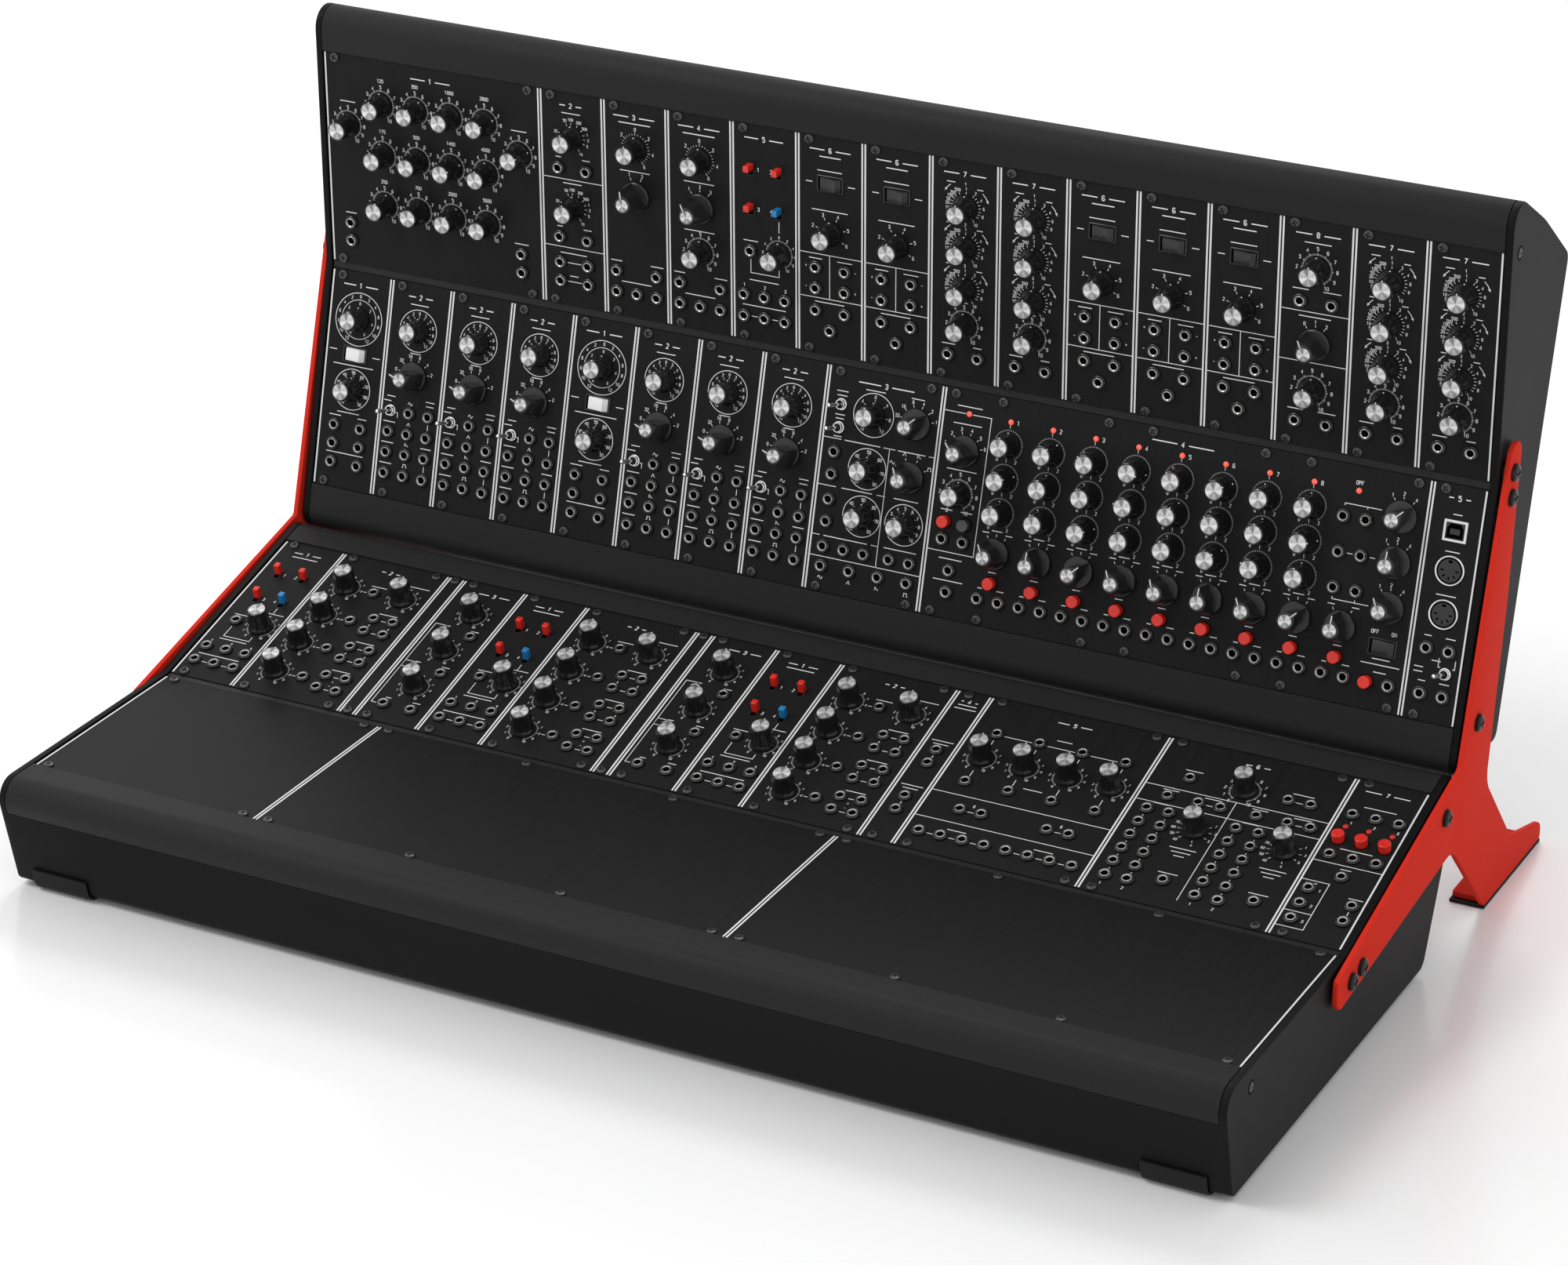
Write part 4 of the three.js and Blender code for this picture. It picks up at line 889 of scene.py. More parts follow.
def case_corners():
    """The case's side outline as (point, radius), counter-clockwise from the fold between the rows."""
    end = flat(ROW_END)
    raised = back_point(0, CHEEK_PROUD)
    slide = (CHEEK_PROUD - raised[1]) / math.tan(FOLD_ANGLE)
    return [
        (np.array([raised[0] + slide, CHEEK_PROUD]), 0),
        (np.array([-NOSE_REACH, CHEEK_PROUD]), NOSE_ROUNDING),
        (np.array([-FRONT_TOE, -CASE_DEPTH]), 6),
        (np.array([end[0] - REAR_TOE, -CASE_DEPTH]), 8),
        (np.array([end[0] + BACK_BULGE, end[1] - BACK_BEND]), 120),
        (back_point(PANEL_HEIGHT + REAR_LIP, CHEEK_PROUD), NOSE_ROUNDING),
    ]


def rounded(corners, steps=10):
    """The outline through corners, with each radius drawn as an arc."""
    points = []
    for index, (here, radius) in enumerate(corners):
        if not radius:
            points.append(here)
            continue
        back = corners[index - 1][0] - here
        onward = corners[(index + 1) % len(corners)][0] - here
        back, onward = back / np.linalg.norm(back), onward / np.linalg.norm(onward)
        half = math.acos(float(np.dot(back, onward))) / 2
        inward = (back + onward) / np.linalg.norm(back + onward)
        centre = here + inward * radius / math.sin(half)
        start = here + back * radius / math.tan(half) - centre
        end = here + onward * radius / math.tan(half) - centre
        sweep = math.atan2(start[0] * end[1] - start[1] * end[0], float(np.dot(start, end)))
        for step in range(steps + 1):
            c, s = math.cos(sweep * step / steps), math.sin(sweep * step / steps)
            points.append(centre + np.array([start[0] * c - start[1] * s, start[0] * s + start[1] * c]))
    return points


def inset_corners(corners, distances):
    """A counter-clockwise outline with each edge moved inward by its own distance."""
    lines = []
    for index, (here, _) in enumerate(corners):
        along = corners[(index + 1) % len(corners)][0] - here
        along = along / np.linalg.norm(along)
        lines.append((here + np.array([-along[1], along[0]]) * distances[index], along))
    made = []
    for index, (_, radius) in enumerate(corners):
        (start, one), (other, two) = lines[index - 1], lines[index]
        apart = other - start
        travel = (apart[0] * two[1] - apart[1] * two[0]) / (one[0] * two[1] - one[1] * two[0])
        made.append((start + one * travel, max(0.0, radius - distances[index]) if radius else 0))
    return made


def crossing(here, after, height):
    """The point between two others where height(point) is nothing."""
    a, b = height(here), height(after)
    return here + (after - here) * a / (a - b)


def clipped(outline, height):
    """The part of a closed outline where height(point) is at or below nothing, as one run of points."""
    made = []
    for here, after in zip(outline, outline[1:] + outline[:1]):
        inside = height(here) <= 0
        if inside:
            made.append(here)
        if inside != (height(after) <= 0):
            made.append(crossing(here, after, height))
    gaps = [np.linalg.norm(made[i] - made[i - 1]) for i in range(len(made))]
    start = int(np.argmax(gaps))
    return made[start:] + made[:start]


def to_back_row(point):
    """A point of the case's side as (along, out) on the back row."""
    inverse = BACK_ROW.inverted() @ Vector((0, point[0], point[1]))
    return inverse.y, inverse.z


def lengthwise(outline, span, finish, bevel, steps=2):
    """A bar along X on a side outline, with its end edges rounded."""
    levels = [(bevel * (1 - math.sin(a)), bevel * (1 - math.cos(a))) for a in quarter_turns(steps)]
    ends = [(span[0] + along, by) for by, along in levels]
    ends += [(span[1] - along, by) for by, along in reversed(levels)]
    return loft([np.column_stack([np.full(len(outline), x), inset(outline, by)]) for x, by in ends], finish)


def tub_outline():
    """The outline of the case's side, and how many of its first points belong to the tub's wall.

    The wall runs from the foot of the front nose, below, to the foot of the rear nose.
    """
    outline = rounded(case_corners())

    def above_front(point):
        """How far a point at the front lies above the foot of its nose."""
        return point[1] + NOSE_HEIGHT if point[0] < PANEL_HEIGHT / 2 else -1

    def above_rear(point):
        return to_back_row(point)[1] + NOSE_HEIGHT if point[0] > PANEL_HEIGHT else -1

    start = next(i for i, p in enumerate(outline) if above_front(p) <= 0 < above_front(outline[i - 1]))
    ordered = outline[start:] + outline[:start]
    wall = [crossing(outline[start - 1], ordered[0], above_front)]
    index = 0
    while above_rear(ordered[index]) <= 0:
        wall.append(ordered[index])
        index += 1
    wall.append(crossing(ordered[index - 1], ordered[index], above_rear))
    rest = [point for point in ordered[index:] if np.linalg.norm(point - wall[0]) > 0.5]
    return np.array(wall + rest), len(wall)


def wall_inside(wall):
    """The inner side of the tub's wall."""
    inner = []
    for i in range(len(wall)):
        one = wall[i] - wall[i - 1] if i else wall[1] - wall[0]
        two = wall[i + 1] - wall[i] if i < len(wall) - 1 else one
        one, two = one / np.linalg.norm(one), two / np.linalg.norm(two)
        mean = (one + two) / np.linalg.norm(one + two)
        inner.append(wall[i] + np.array([-mean[1], mean[0]]) * WALL / max(float(np.dot(mean, one)), 0.5))
    return np.array(inner)


def shell_shape():
    """The folded tub with its two cheeks, in one skin: open above between the noses."""
    full, edge = tub_outline()
    inner = wall_inside(full[:edge])
    bevel, soft = 0.9, 0.35
    points, faces = [], []

    def ring(x, outline_points):
        """Adds a ring of points and gives their numbers."""
        base = len(points)
        points.extend([(x, *p) for p in outline_points])
        return list(range(base, base + len(outline_points)))

    def join(one, two, loop=True):
        """Adds the faces between two rings."""
        for i in range(len(one) if loop else len(one) - 1):
            j = (i + 1) % len(one)
            faces.append((one[i], one[j], two[j], two[i]))

    halves = []
    for sign, outside, inside in ((1, -SIDE, -CHEEK_GAP), (-1, ROW_WIDTH + SIDE, ROW_WIDTH + CHEEK_GAP)):
        rings = [ring(outside + sign * bevel * (1 - math.cos(angle)), inset(full, bevel * (1 - math.sin(angle))))
                 for angle in quarter_turns(3)]
        rings.append(ring(inside - sign * soft, full))
        # The cheek's inner rim is softened above the noses only, and stays flush where the tub goes on
        rim = full.copy()
        rim[edge:] = inset(full, soft)[edge:]
        rings.append(ring(inside, rim))
        faces.append(tuple(rings[0]))
        for one, two in zip(rings, rings[1:]):
            join(one, two)
        lining = ring(inside, inner)
        outer_rim = rings[-1]
        faces.append((*reversed(lining), outer_rim[0], *outer_rim[:edge - 1:-1], outer_rim[edge - 1]))
        halves.append((outer_rim[:edge], lining))
    (outer_left, inner_left), (outer_right, inner_right) = halves
    join(outer_left, outer_right, False)
    join(inner_left, inner_right, False)
    faces.append((outer_left[0], outer_right[0], inner_right[0], inner_left[0]))
    faces.append((outer_left[-1], outer_right[-1], inner_right[-1], inner_left[-1]))
    return points, faces


def nose_outline(front):
    """The side outline of a rounded nose with the ledge that carries the panels."""
    seat, floor = -PANEL_THICKNESS - CLEARANCE, CLEARANCE - NOSE_HEIGHT
    ledge = seat - LEDGE_THICKNESS

    def outside(point):
        """Above nothing where a point doesn't belong to the nose."""
        if front:
            return max(point[0] + CLEARANCE, floor - point[1])
        along, out = to_back_row(point)
        return max(PANEL_HEIGHT + CLEARANCE - along, floor - out)

    skin = clipped(rounded(case_corners(), 16), outside)
    inner = [(-CLEARANCE, seat), (LEDGE_REACH, seat), (LEDGE_REACH, ledge), (-NOSE_CORE, ledge), (-NOSE_CORE, floor)]
    if front:
        return np.array([*skin, *inner[::-1]])
    return np.array([*skin, *[back_point(PANEL_HEIGHT - along, out) for along, out in inner]])


class SYNTH_OT_cases(bpy.types.Operator):
    """The two tubs with their cheeks, rounded noses and centre rails"""

    bl_idname = "synthesizer.cases"
    bl_label = "Cases"

    def execute(self, context):
        points, faces = shell_shape()
        shell = settle(points, faces, "case_black")
        for label, case, screw_front in (("lower", LOWER_CASE, True), ("upper", UPPER_CASE, False)):
            made = Piece(f"{label}_tub").add([shell], case)
            made.make(replaces=[f"{label}_case_shell"], slot="case_black", sharp=28)
            for front in (True, False):
                outline = nose_outline(front)
                span = (CLEARANCE - CHEEK_GAP, ROW_WIDTH + CHEEK_GAP - CLEARANCE)
                name = f"{label}_{'front' if front else 'rear'}_nose"
                nose = Piece(name + "_form").add([lengthwise(outline, span, "nose_grey", 0.25)], case)
                nose.make(replaces=[name], slot="nose_grey", sharp=24)
            side_point = BOLT_POINTS["front" if screw_front else "rear"]
            screws = Piece(f"{label}_side_screws")
            for sign in (-1, 1):
                x = ROW_WIDTH + SIDE if sign > 0 else -SIDE
                facing = Matrix.Rotation(math.radians(90 * sign), 4, "Y")
                screws.add(side_screw(), case @ Matrix.Translation((x, *side_point)) @ facing)
            screws.make(slot="case_black")
            refinish(f"{label}_centre_rail", "rail_black")
        Piece("power_socket").add(power_socket(), power_socket_place()).make(slot="case_black")
        return {"FINISHED"}


def side_screw():
    """A screw sunk in the cheek, with a ring of painted shade round it."""
    return [
        turned([(4.0, -0.6), (4.0, 0.06), (3.5, 0.1), (3.2, -0.1), (2.2, -0.15), (2.2, -0.6)], 24, "hole_black", True),
        turned([(2.5, -0.6), (2.5, 0.1), (2.1, 0.45), (1.4, 0.5), (1.2, 0.1)], 18, "screw_black"),
    ]


def power_socket():
    """A round socket with its pin."""
    return [
        turned([(2.95, -1.4), (5.6, -1.4), (5.6, 2.7), (5.3, 3.05), (3.2, 3.05), (2.95, 2.8)], 32, "socket_grey", True),
        # The floor of the bore is painted shade
        turned([(2.96, -1.4), (2.96, -0.6)], 24, "hole_black"),
        turned([(1.0, -1.0), (1.0, 2.6), (0.7, 3.0)], 16, "ring_nickel"),
    ]


def power_socket_place():
    """On the lower case's sloped rear wall."""
    toe, bend = case_corners()[3][0], case_corners()[4][0]
    lean = math.atan2(bend[0] - toe[0], bend[1] - toe[1])
    middle = (toe + bend) / 2
    at = Matrix.Translation((ROW_WIDTH - 60, *middle))
    return LOWER_CASE @ at @ Matrix.Rotation(-lean, 4, "X") @ Matrix.Rotation(-math.pi / 2, 4, "X")


# ---------------------------------------------------------------- stand


# The tapped holes of a case, in its side view
BOLT_POINTS = {
    "front": np.array([BOLT_INSET, -BOLT_DROP]),
    "before_fold": np.array([PANEL_HEIGHT - BOLT_INSET, -BOLT_DROP]),
    "after_fold": back_point(BOLT_INSET, -BOLT_DROP),
    "rear": back_point(PANEL_HEIGHT - BOLT_INSET, -BOLT_DROP),
}
PAD_TOP = PAD_THICKNESS - CASE_DEPTH - FOOT_HEIGHT
FOOT_PLATE_FRONT = UPPER_PLACE.translation.y + FOOT_PLATE_SETBACK
FOOT_PLATE_REAR = FOOT_PLATE_FRONT + FOOT_PLATE_LENGTH


def on_upper(name):
    """A hole of the upper case in the lower case's side view."""
    return flat(UPPER_PLACE @ Vector((0, *BOLT_POINTS[name])))


def outward(sign, low, high):
    """A span beyond one end of the rows: the left end for a sign below nothing."""
    return (ROW_WIDTH + low, ROW_WIDTH + high) if sign > 0 else (-high, -low)


def bracket_corners():
    """The bracket's outline as (point, radius), each point in arm widths from a bolt or a foot."""
    foot_front, foot_rear = (FOOT_PLATE_FRONT, PAD_TOP), (FOOT_PLATE_REAR, PAD_TOP)
    lower_front, lower_rear = BOLT_POINTS["before_fold"], BOLT_POINTS["rear"]
    upper_front, upper_below, upper_above = on_upper("front"), on_upper("before_fold"), on_upper("after_fold")
    shares = [
        (lower_front, -0.85, 0.37, 3), (lower_front, -0.85, -0.5, 7.5), (lower_rear, 0.7, -1.205, 20),
        (foot_front, 0, 0, 3), (foot_rear, 0, 0, 3), (foot_rear, 0, 0.486, 7.5), (foot_rear, -2.436, 1.164, 20),
        (upper_front, 1.023, -2.045, 20), (upper_below, 0.336, -2.71, 200), (upper_above, 0.514, 0.718, 7.5),
        (upper_above, -0.164, 0.718, 7.5), (lower_rear, 0.986, 0.841, 3),
    ]
    return [(anchor + np.array([y, z]) * ARM_WIDTH, radius) for anchor, y, z, radius in shares]


# The cross in a screw, as shares of the head's radius
CROSS_WIDTH, CROSS_REACH = 0.13, 0.58


def cross_head(radius, height, finish, dome=0.45, recess=0.62):
    """A domed screw head with a cross cut into it."""
    angles = np.arange(32) * math.tau / 32
    rings = [(radius, 0.0), (radius, height * (1 - dome)), (radius * 0.9, height * 0.82),
             (radius * 0.72, height * 0.95), *[(radius * share, height) for share in (0.6, 0.5, 0.36, 0.2)]]
    levels = []
    for reach, z in rings:
        ring = []
        for angle in angles:
            x, y = reach * math.cos(angle), reach * math.sin(angle)
            in_cross = min(abs(x), abs(y)) < radius * CROSS_WIDTH and reach < radius * CROSS_REACH
            ring.append((x, y, z - (height * recess if in_cross else 0)))
        levels.append(ring)
    return loft(levels, finish)


class SYNTH_OT_stand(bpy.types.Operator):
    """The red side brackets with their bolts, pads and the case's rubber feet"""

    bl_idname = "synthesizer.stand"
    bl_label = "Stand"

    def execute(self, context):
        outline = np.array(rounded(bracket_corners(), 12))
        inner = SIDE + BRACKET_GAP
        outer = inner + BRACKET_THICKNESS
        bolt_shapes = [
            cross_head(4.8, 2.9, "bolt_black", 0.35, 0.5),
            turned([(2.5, -8.5), (2.5, 0)], 20, "ring_nickel"),
            turned([(6.0, -4.2), (6.0, -3.1)], 28, "nut_black"),
        ]
        used = [*[BOLT_POINTS[name] for name in ("before_fold", "after_fold", "rear")],
                *[on_upper(name) for name in ("front", "before_fold", "after_fold")]]
        for label, sign in (("left", -1), ("right", 1)):
            bracket = Piece(f"stand_bracket_{label}_form")
            bracket.add([lengthwise(outline, outward(sign, inner, outer), "bracket_red", 0.5, 3)], LOWER_CASE)
            flange = rectangle(FOOT_PLATE_WIDTH - 1, FOOT_PLATE_LENGTH - 6, 2.0)
            middle = sum(outward(sign, outer - FOOT_PLATE_WIDTH, outer - 1)) / 2
            at = Matrix.Translation((middle, (FOOT_PLATE_FRONT + FOOT_PLATE_REAR) / 2, PAD_TOP))
            bracket.add([slab(flange, 0, BRACKET_THICKNESS, "bracket_red", 0.5)], LOWER_CASE @ at)
            bracket.make(replaces=[f"stand_bracket_{label}"], slot="bracket_red", sharp=35)
            bolts = Piece(f"bracket_bolts_{label}")
            facing = Matrix.Rotation(math.radians(90 * sign), 4, "Y")
            head = outward(sign, outer, outer)[0]
            for point in used:
                bolts.add(bolt_shapes, LOWER_CASE @ Matrix.Translation((head, *point)) @ facing)
            bolts.make(slot="bracket_red")
            for end in ("front", "rear"):
                name = f"{end}_foot_{label}"
                foot = Piece(name + "_form").add([foot_shape(sign, end == "front")], LOWER_CASE)
                foot.make(replaces=[name], slot="rubber", sharp=40)
            refinish(f"bracket_pad_{label}", "rubber")
        return {"FINISHED"}


def foot_shape(sign, at_front):
    """A rubber foot that wraps the tub's lower edge."""
    corners = case_corners()
    skin = rounded(inset_corners(corners, [0, -FOOT_SKIN, -FOOT_HEIGHT, -FOOT_SKIN, 0, 0]), 8)
    seat = rounded(inset_corners(corners, [-CLEARANCE] * 6), 8)
    end = corners[2][0][0] + FOOT_LENGTH if at_front else corners[3][0][0] - FOOT_LENGTH
    top = FOOT_RISE - CASE_DEPTH

    def outside(point):
        """Above nothing where a point doesn't belong to the foot."""
        return max(point[1] - top, point[0] - end if at_front else end - point[0])

    outline = np.array(clipped(skin, outside) + clipped(seat, outside)[::-1])
    return lengthwise(outline, outward(sign, SIDE - FOOT_GAP - FOOT_WIDTH, SIDE - FOOT_GAP), "rubber", 0.9, 3)


# ---------------------------------------------------------------- controls


def knob_shapes():
    """A fluted black knob with a skirt, a spun cap and white dots on its rim and skirt."""
    top = size("knob_height")
    body = turned([
        (6.7, 0.32), (7.2, 0.5), (7.25, 1.1), (7.0, 1.9), (6.6, 2.6), (6.4, 3.1, 0.05), (6.3, 3.8, 0.28),
        (6.15, 7.0, 0.36), (6.0, 12.0, 0.36), (5.95, 12.8, 0.32), (5.75, 13.3, 0.18), (5.3, 13.5, 0.05), (4.88, 13.3),
    ], 60, "knob_black", flutes=10, turn=math.tau / 20)
    cap = turned([
        (4.85, 12.9), (4.85, top - 0.22), (4.75, top - 0.06), (4.5, top), (2.4, top - 0.08), (0.35, top - 0.12),
    ], 48, "cap_aluminium")
    shapes = [body, cap]
    for radius, height, out in ((0.4, 13.58, 5.35), (0.42, 2.3, 6.9)):
        dot = turned([(radius, height - 0.5), (radius, height - 0.08), (radius * 0.7, height)], 12, "printing")
        shapes += moved([dot], spot(0, out))
    return shapes


# Half plans of the selector's body, from its beak round to its back: at its foot, at its shoulder, at its collar
FOOT_PLAN = [
    (0.0, 8.8), (0.45, 8.6), (0.95, 7.2), (1.35, 5.6), (2.4, 4.5), (3.7, 3.2), (4.3, 1.2), (4.4, -1.2), (4.6, -3.4),
    (5.2, -5.4), (5.8, -6.5), (5.0, -7.0), (2.6, -7.5), (0.0, -7.7),
]
SHOULDER_PLAN = [
    (0.0, 8.5), (0.4, 8.3), (0.85, 7.0), (1.2, 5.6), (2.3, 4.6), (3.7, 3.3), (4.4, 1.2), (4.5, -1.0), (4.7, -2.8),
    (5.0, -4.3), (5.3, -5.3), (4.5, -5.6), (2.3, -5.8), (0.0, -5.9),
]
COLLAR_PLAN = [
    (0.0, 8.3), (0.35, 8.1), (0.8, 6.9), (1.15, 5.6), (2.3, 4.4), (3.6, 3.3), (4.7, 1.3), (4.9, -0.4), (4.6, -1.7),
    (4.1, -2.7), (3.5, -3.5), (2.7, -4.1), (1.5, -4.65), (0.0, -4.9),
]


def whole_plan(half, height, drop=0.0, shrink=1.0):
    """A ring from half a plan and its mirror image. Its beak lies lower by drop."""
    points = [*half, *[(-x, y) for x, y in half[-2:0:-1]]]
    return [(x * shrink, y * shrink, height - drop * max(0.0, (y - 5) / 3.3)) for x, y in points]


def selector_shapes():
    """A pointer knob: a wide disc, a blade that starts at a collar, a spun cap and a white line."""
    top = size("selector_height")
    disc = turned([
        (8.4, 0.32), (8.95, 0.5), (9.0, 1.2), (8.8, 1.9), (8.3, 2.35), (5.0, 2.75), (3.6, 2.8),
    ], 64, "selector_black")
    body = loft([
        whole_plan(FOOT_PLAN, 2.2), whole_plan(FOOT_PLAN, 3.2, shrink=0.985), whole_plan(SHOULDER_PLAN, 12.2),
        whole_plan(SHOULDER_PLAN, 12.6, shrink=0.985), whole_plan(COLLAR_PLAN, 15.9, 0.8),
        whole_plan(COLLAR_PLAN, 16.15, 0.8, 0.95), whole_plan(COLLAR_PLAN, 16.2, 0.8, 0.8),
    ], "selector_black")
    cap = turned([
        (3.72, 15.6), (3.72, top - 0.2), (3.6, top - 0.05), (3.4, top), (0.35, top - 0.08),
    ], 40, "cap_aluminium")
    line = loft([[(-0.26, y, z - 0.6), (0.26, y, z - 0.6), (0.26, y, z), (-0.26, y, z)]
                 for y, z in ((3.5, 16.26), (5.0, 16.24), (6.6, 15.82), (7.75, 15.52), (8.15, 14.9))], "printing")
    return [disc, body, cap, line]


def jack_shapes():
    """A patch socket: a black nut round a bright bush, with painted shade on the shallow floor of its bore."""
    r = size("jack_radius")
    nut = [(2.9, -0.05), (r, -0.05), (r, 1.2), (r - 0.3, 1.6), (3.55, 1.72), (3.1, 1.66), (2.9, 1.45)]
    bush = [(1.92, 1.2), (2.9, 1.2), (2.9, 1.85), (2.68, 2.12), (2.4, 2.12), (1.92, 1.7)]
    return [
        turned(nut, 30, "nut_black", True),
        turned(bush, 30, "ring_nickel", True),
        turned([(1.92, 1.2), (1.92, 1.46)], 20, "hole_black"),
    ]


def lever_shapes():
    """A polished bat lever, leaning left."""
    bat = [(0.9, 0.2), (0.98, 2.0), (1.02, 4.0), (1.2, 9.0), (1.3, 11.2), (1.15, 12.0), (0.7, 12.4), (0.2, 12.5)]
    ball = [(0.6, -1.4), (1.3, -0.9), (1.65, 0.0), (1.3, 0.9), (0.9, 1.3)]
    shapes = [turned(bat, 20, "lever_chrome"), turned(ball, 16, "lever_chrome")]
    return moved(shapes, Matrix.Rotation(math.radians(-12), 4, "Y"))


def lever_nut():
    """The nut of a toggle, with painted shade inside."""
    nut = [(2.12, -0.05), (3.35, -0.05), (3.35, 0.5), (3.0, 0.55), (3.0, 2.2), (2.75, 2.55), (2.4, 2.6), (2.12, 2.35)]
    return [turned(nut, 24, "lever_chrome", True), turned([(2.12, -0.05), (2.12, 0.1)], 16, "hole_black")]


def slide_cap(finish):
    """A tall slide cap at the upper end of its slot."""
    cap = slab(rectangle(3.42, 3.62, 0.3), 0.05, 6.2, finish, 0.28, 3)
    return moved([cap], spot(0, SLIDE_TRAVEL / 2))


def slide_slot():
    """The slot of a slide switch, a thin sheet of painted shade, with its pressed rim."""
    hole = slab(rectangle(3.5, 7.2, 0.3), -0.02, 0.035, "hole_black")
    return [hole, ribbon(rectangle(3.72, 7.42, 0.4), 0.25, "socket_grey", 0.09, True)]


def rocker_section():
    """The side outline of a rocker: its dished top between two flanks."""
    def spoke(reach, degrees):
        return np.array([reach * math.cos(math.radians(degrees)), reach * math.sin(math.radians(degrees))])

    half_width, dish, rise = 4.93, 2.65, 2.96
    top = [np.array([half_width * (1 - s / 4), dish + (rise - dish) * (abs(s - 4) / 4) ** 2 + 0.05]) for s in range(9)]
    points = [spoke(6.9, -20), spoke(6.9, 5), *top, spoke(6.9, 175), spoke(6.9, 200)]
    return inset(np.array(points), -0.12)


def rocker_shapes(finish):
    """A rocker, tipped to the left and with rounded edges."""
    outline = rocker_section()
    half, bevel, edge = 3.72, 0.45, 0.15
    rings = []
    for y, by in ((-half, bevel), (-half + edge, edge), (-half + bevel, 0), (half - bevel, 0), (half - edge, edge),
                  (half, bevel)):
        ring = inset(outline, by)
        rings.append(np.column_stack([ring[:, 0], np.full(len(ring), y), ring[:, 1]]))
    tilt = Matrix.Translation((0, 0, -0.5)) @ Matrix.Rotation(math.radians(-10), 4, "Y")
    return moved([loft(rings, finish)], tilt)


def rocker_bezel():
    """The frame that a rocker sits in, with a sheet of painted shade inside."""
    outer, inner = rectangle(16.2, 9.6, 0.8), rectangle(14.5, 8.1, 0.3)
    bezel = frame_shape(inner, outer, (-0.05, 0.55, 0.8), "rocker_black")
    return [bezel, slab(rectangle(14.6, 8.2), -0.04, 0.62, "hole_black")]


def button_shapes(finish):
    """A round push button with a slightly dished top."""
    profile = [(3.45, 0.1), (3.48, 4.3), (3.38, 4.78), (3.05, 5.02), (2.6, 5.05), (1.2, 4.94), (0.3, 4.9)]
    return [turned(profile, 36, finish)]


def button_collar():
    """A ring of painted shade round a push button."""
    profile = [(3.55, -0.05), (3.95, -0.05), (3.95, 0.12), (3.85, 0.2), (3.55, 0.2)]
    return [turned(profile, 28, "hole_black", True)]


class SYNTH_OT_knobs(bpy.types.Operator):
    """The dial knobs and the selector knobs"""

    bl_idname = "synthesizer.knobs"
    bl_label = "Knobs"

    def execute(self, context):
        place_controls("knobs", "dial_knobs", [knob_shapes()])
        place_controls("selectors", "selector_knobs", [selector_shapes()])
        return {"FINISHED"}


class SYNTH_OT_jacks(bpy.types.Operator):
    """The patch sockets"""

    bl_idname = "synthesizer.jacks"
    bl_label = "Patch sockets"

    def execute(self, context):
        place_controls("jacks", "patch_sockets", [jack_shapes()])
        return {"FINISHED"}


class SYNTH_OT_switches(bpy.types.Operator):
    """The toggles, slides, rockers and push buttons"""

    bl_idname = "synthesizer.switches"
    bl_label = "Switches"

    def execute(self, context):
        place_controls("toggles", "toggle_switches", [lever_shapes()], lever_nut())
        slides = [slide_cap(finish) for finish in ("red_plastic", "blue_plastic")]
        place_controls("slides", "slide_switches", slides, slide_slot())
        rockers = [rocker_shapes(finish) for finish in ("rocker_black", "white_plastic")]
        place_controls("rockers", "rocker_switches", rockers, rocker_bezel())
        buttons = [button_shapes(finish) for finish in ("red_plastic", "grey_plastic")]
        place_controls("buttons", "push_buttons", buttons, button_collar())
        return {"FINISHED"}


def square_port():
    """A square data socket: a white frame round a mouth of painted shade with its tongue."""
    outer, inner = rectangle(13.0, 11.4, 0.2), rectangle(10.6, 9.0, 0.2)
    mouth = [(-4.6, -3.9), (4.6, -3.9), (4.6, 1.6), (2.8, 3.9), (-2.8, 3.9), (-4.6, 1.6)]
    return [
        frame_shape(inner, outer, (-0.05, 0.95, 0.95), "printing"),
        slab(rectangle(10.7, 9.1), -0.04, 0.86, "socket_grey"),
        slab(mouth, 0.8, 0.9, "hole_black"),
        *moved([slab(rectangle(5.4, 3.0, 0.2), 0.8, 1.0, "socket_grey")], spot(0, -0.3)),
    ]


def round_port():
    """A round socket with five pin holes on an arc and a key slot."""
    rim = [(7.3, -0.05), (8.15, -0.05), (8.15, 0.85), (7.95, 1.1), (7.5, 1.1), (7.3, 0.9)]
    shapes = [
        turned(rim, 48, "lever_chrome", True),
        turned([(7.3, 0.0), (7.3, 0.85), (6.3, 0.87), (6.2, 0.98), (0.5, 0.99)], 48, "socket_grey"),
        # The groove, the key slot below and the pin holes are thin sheets of painted shade
        turned([(6.2, 0.9), (6.9, 0.9), (6.9, 0.93), (6.2, 0.93)], 40, "hole_black", True),
        *moved([slab(rectangle(2.2, 1.5, 0.2), 0.9, 1.02, "hole_black")], spot(0, 4.9)),
    ]
    for degrees in (-90, -45, 0, 45, 90):
        hole = slab(rectangle(0.85, 1.9, 0.3), 0.9, 1.03, "hole_black")
        shapes += moved([hole], spot(0, 0, 0, degrees) @ spot(0, -4.1))
    return shapes


# The places of the lamps on a module
LAMPS = {
    "sequencer": [(16.5, 115.4), *[(41.7 + 25.37 * k, 115.4) for k in range(8)], (244.6, 115.2)],
    "stage_switch": [(8.0, 90.0), (21.0, 90.0), (34.0, 90.0)],
}


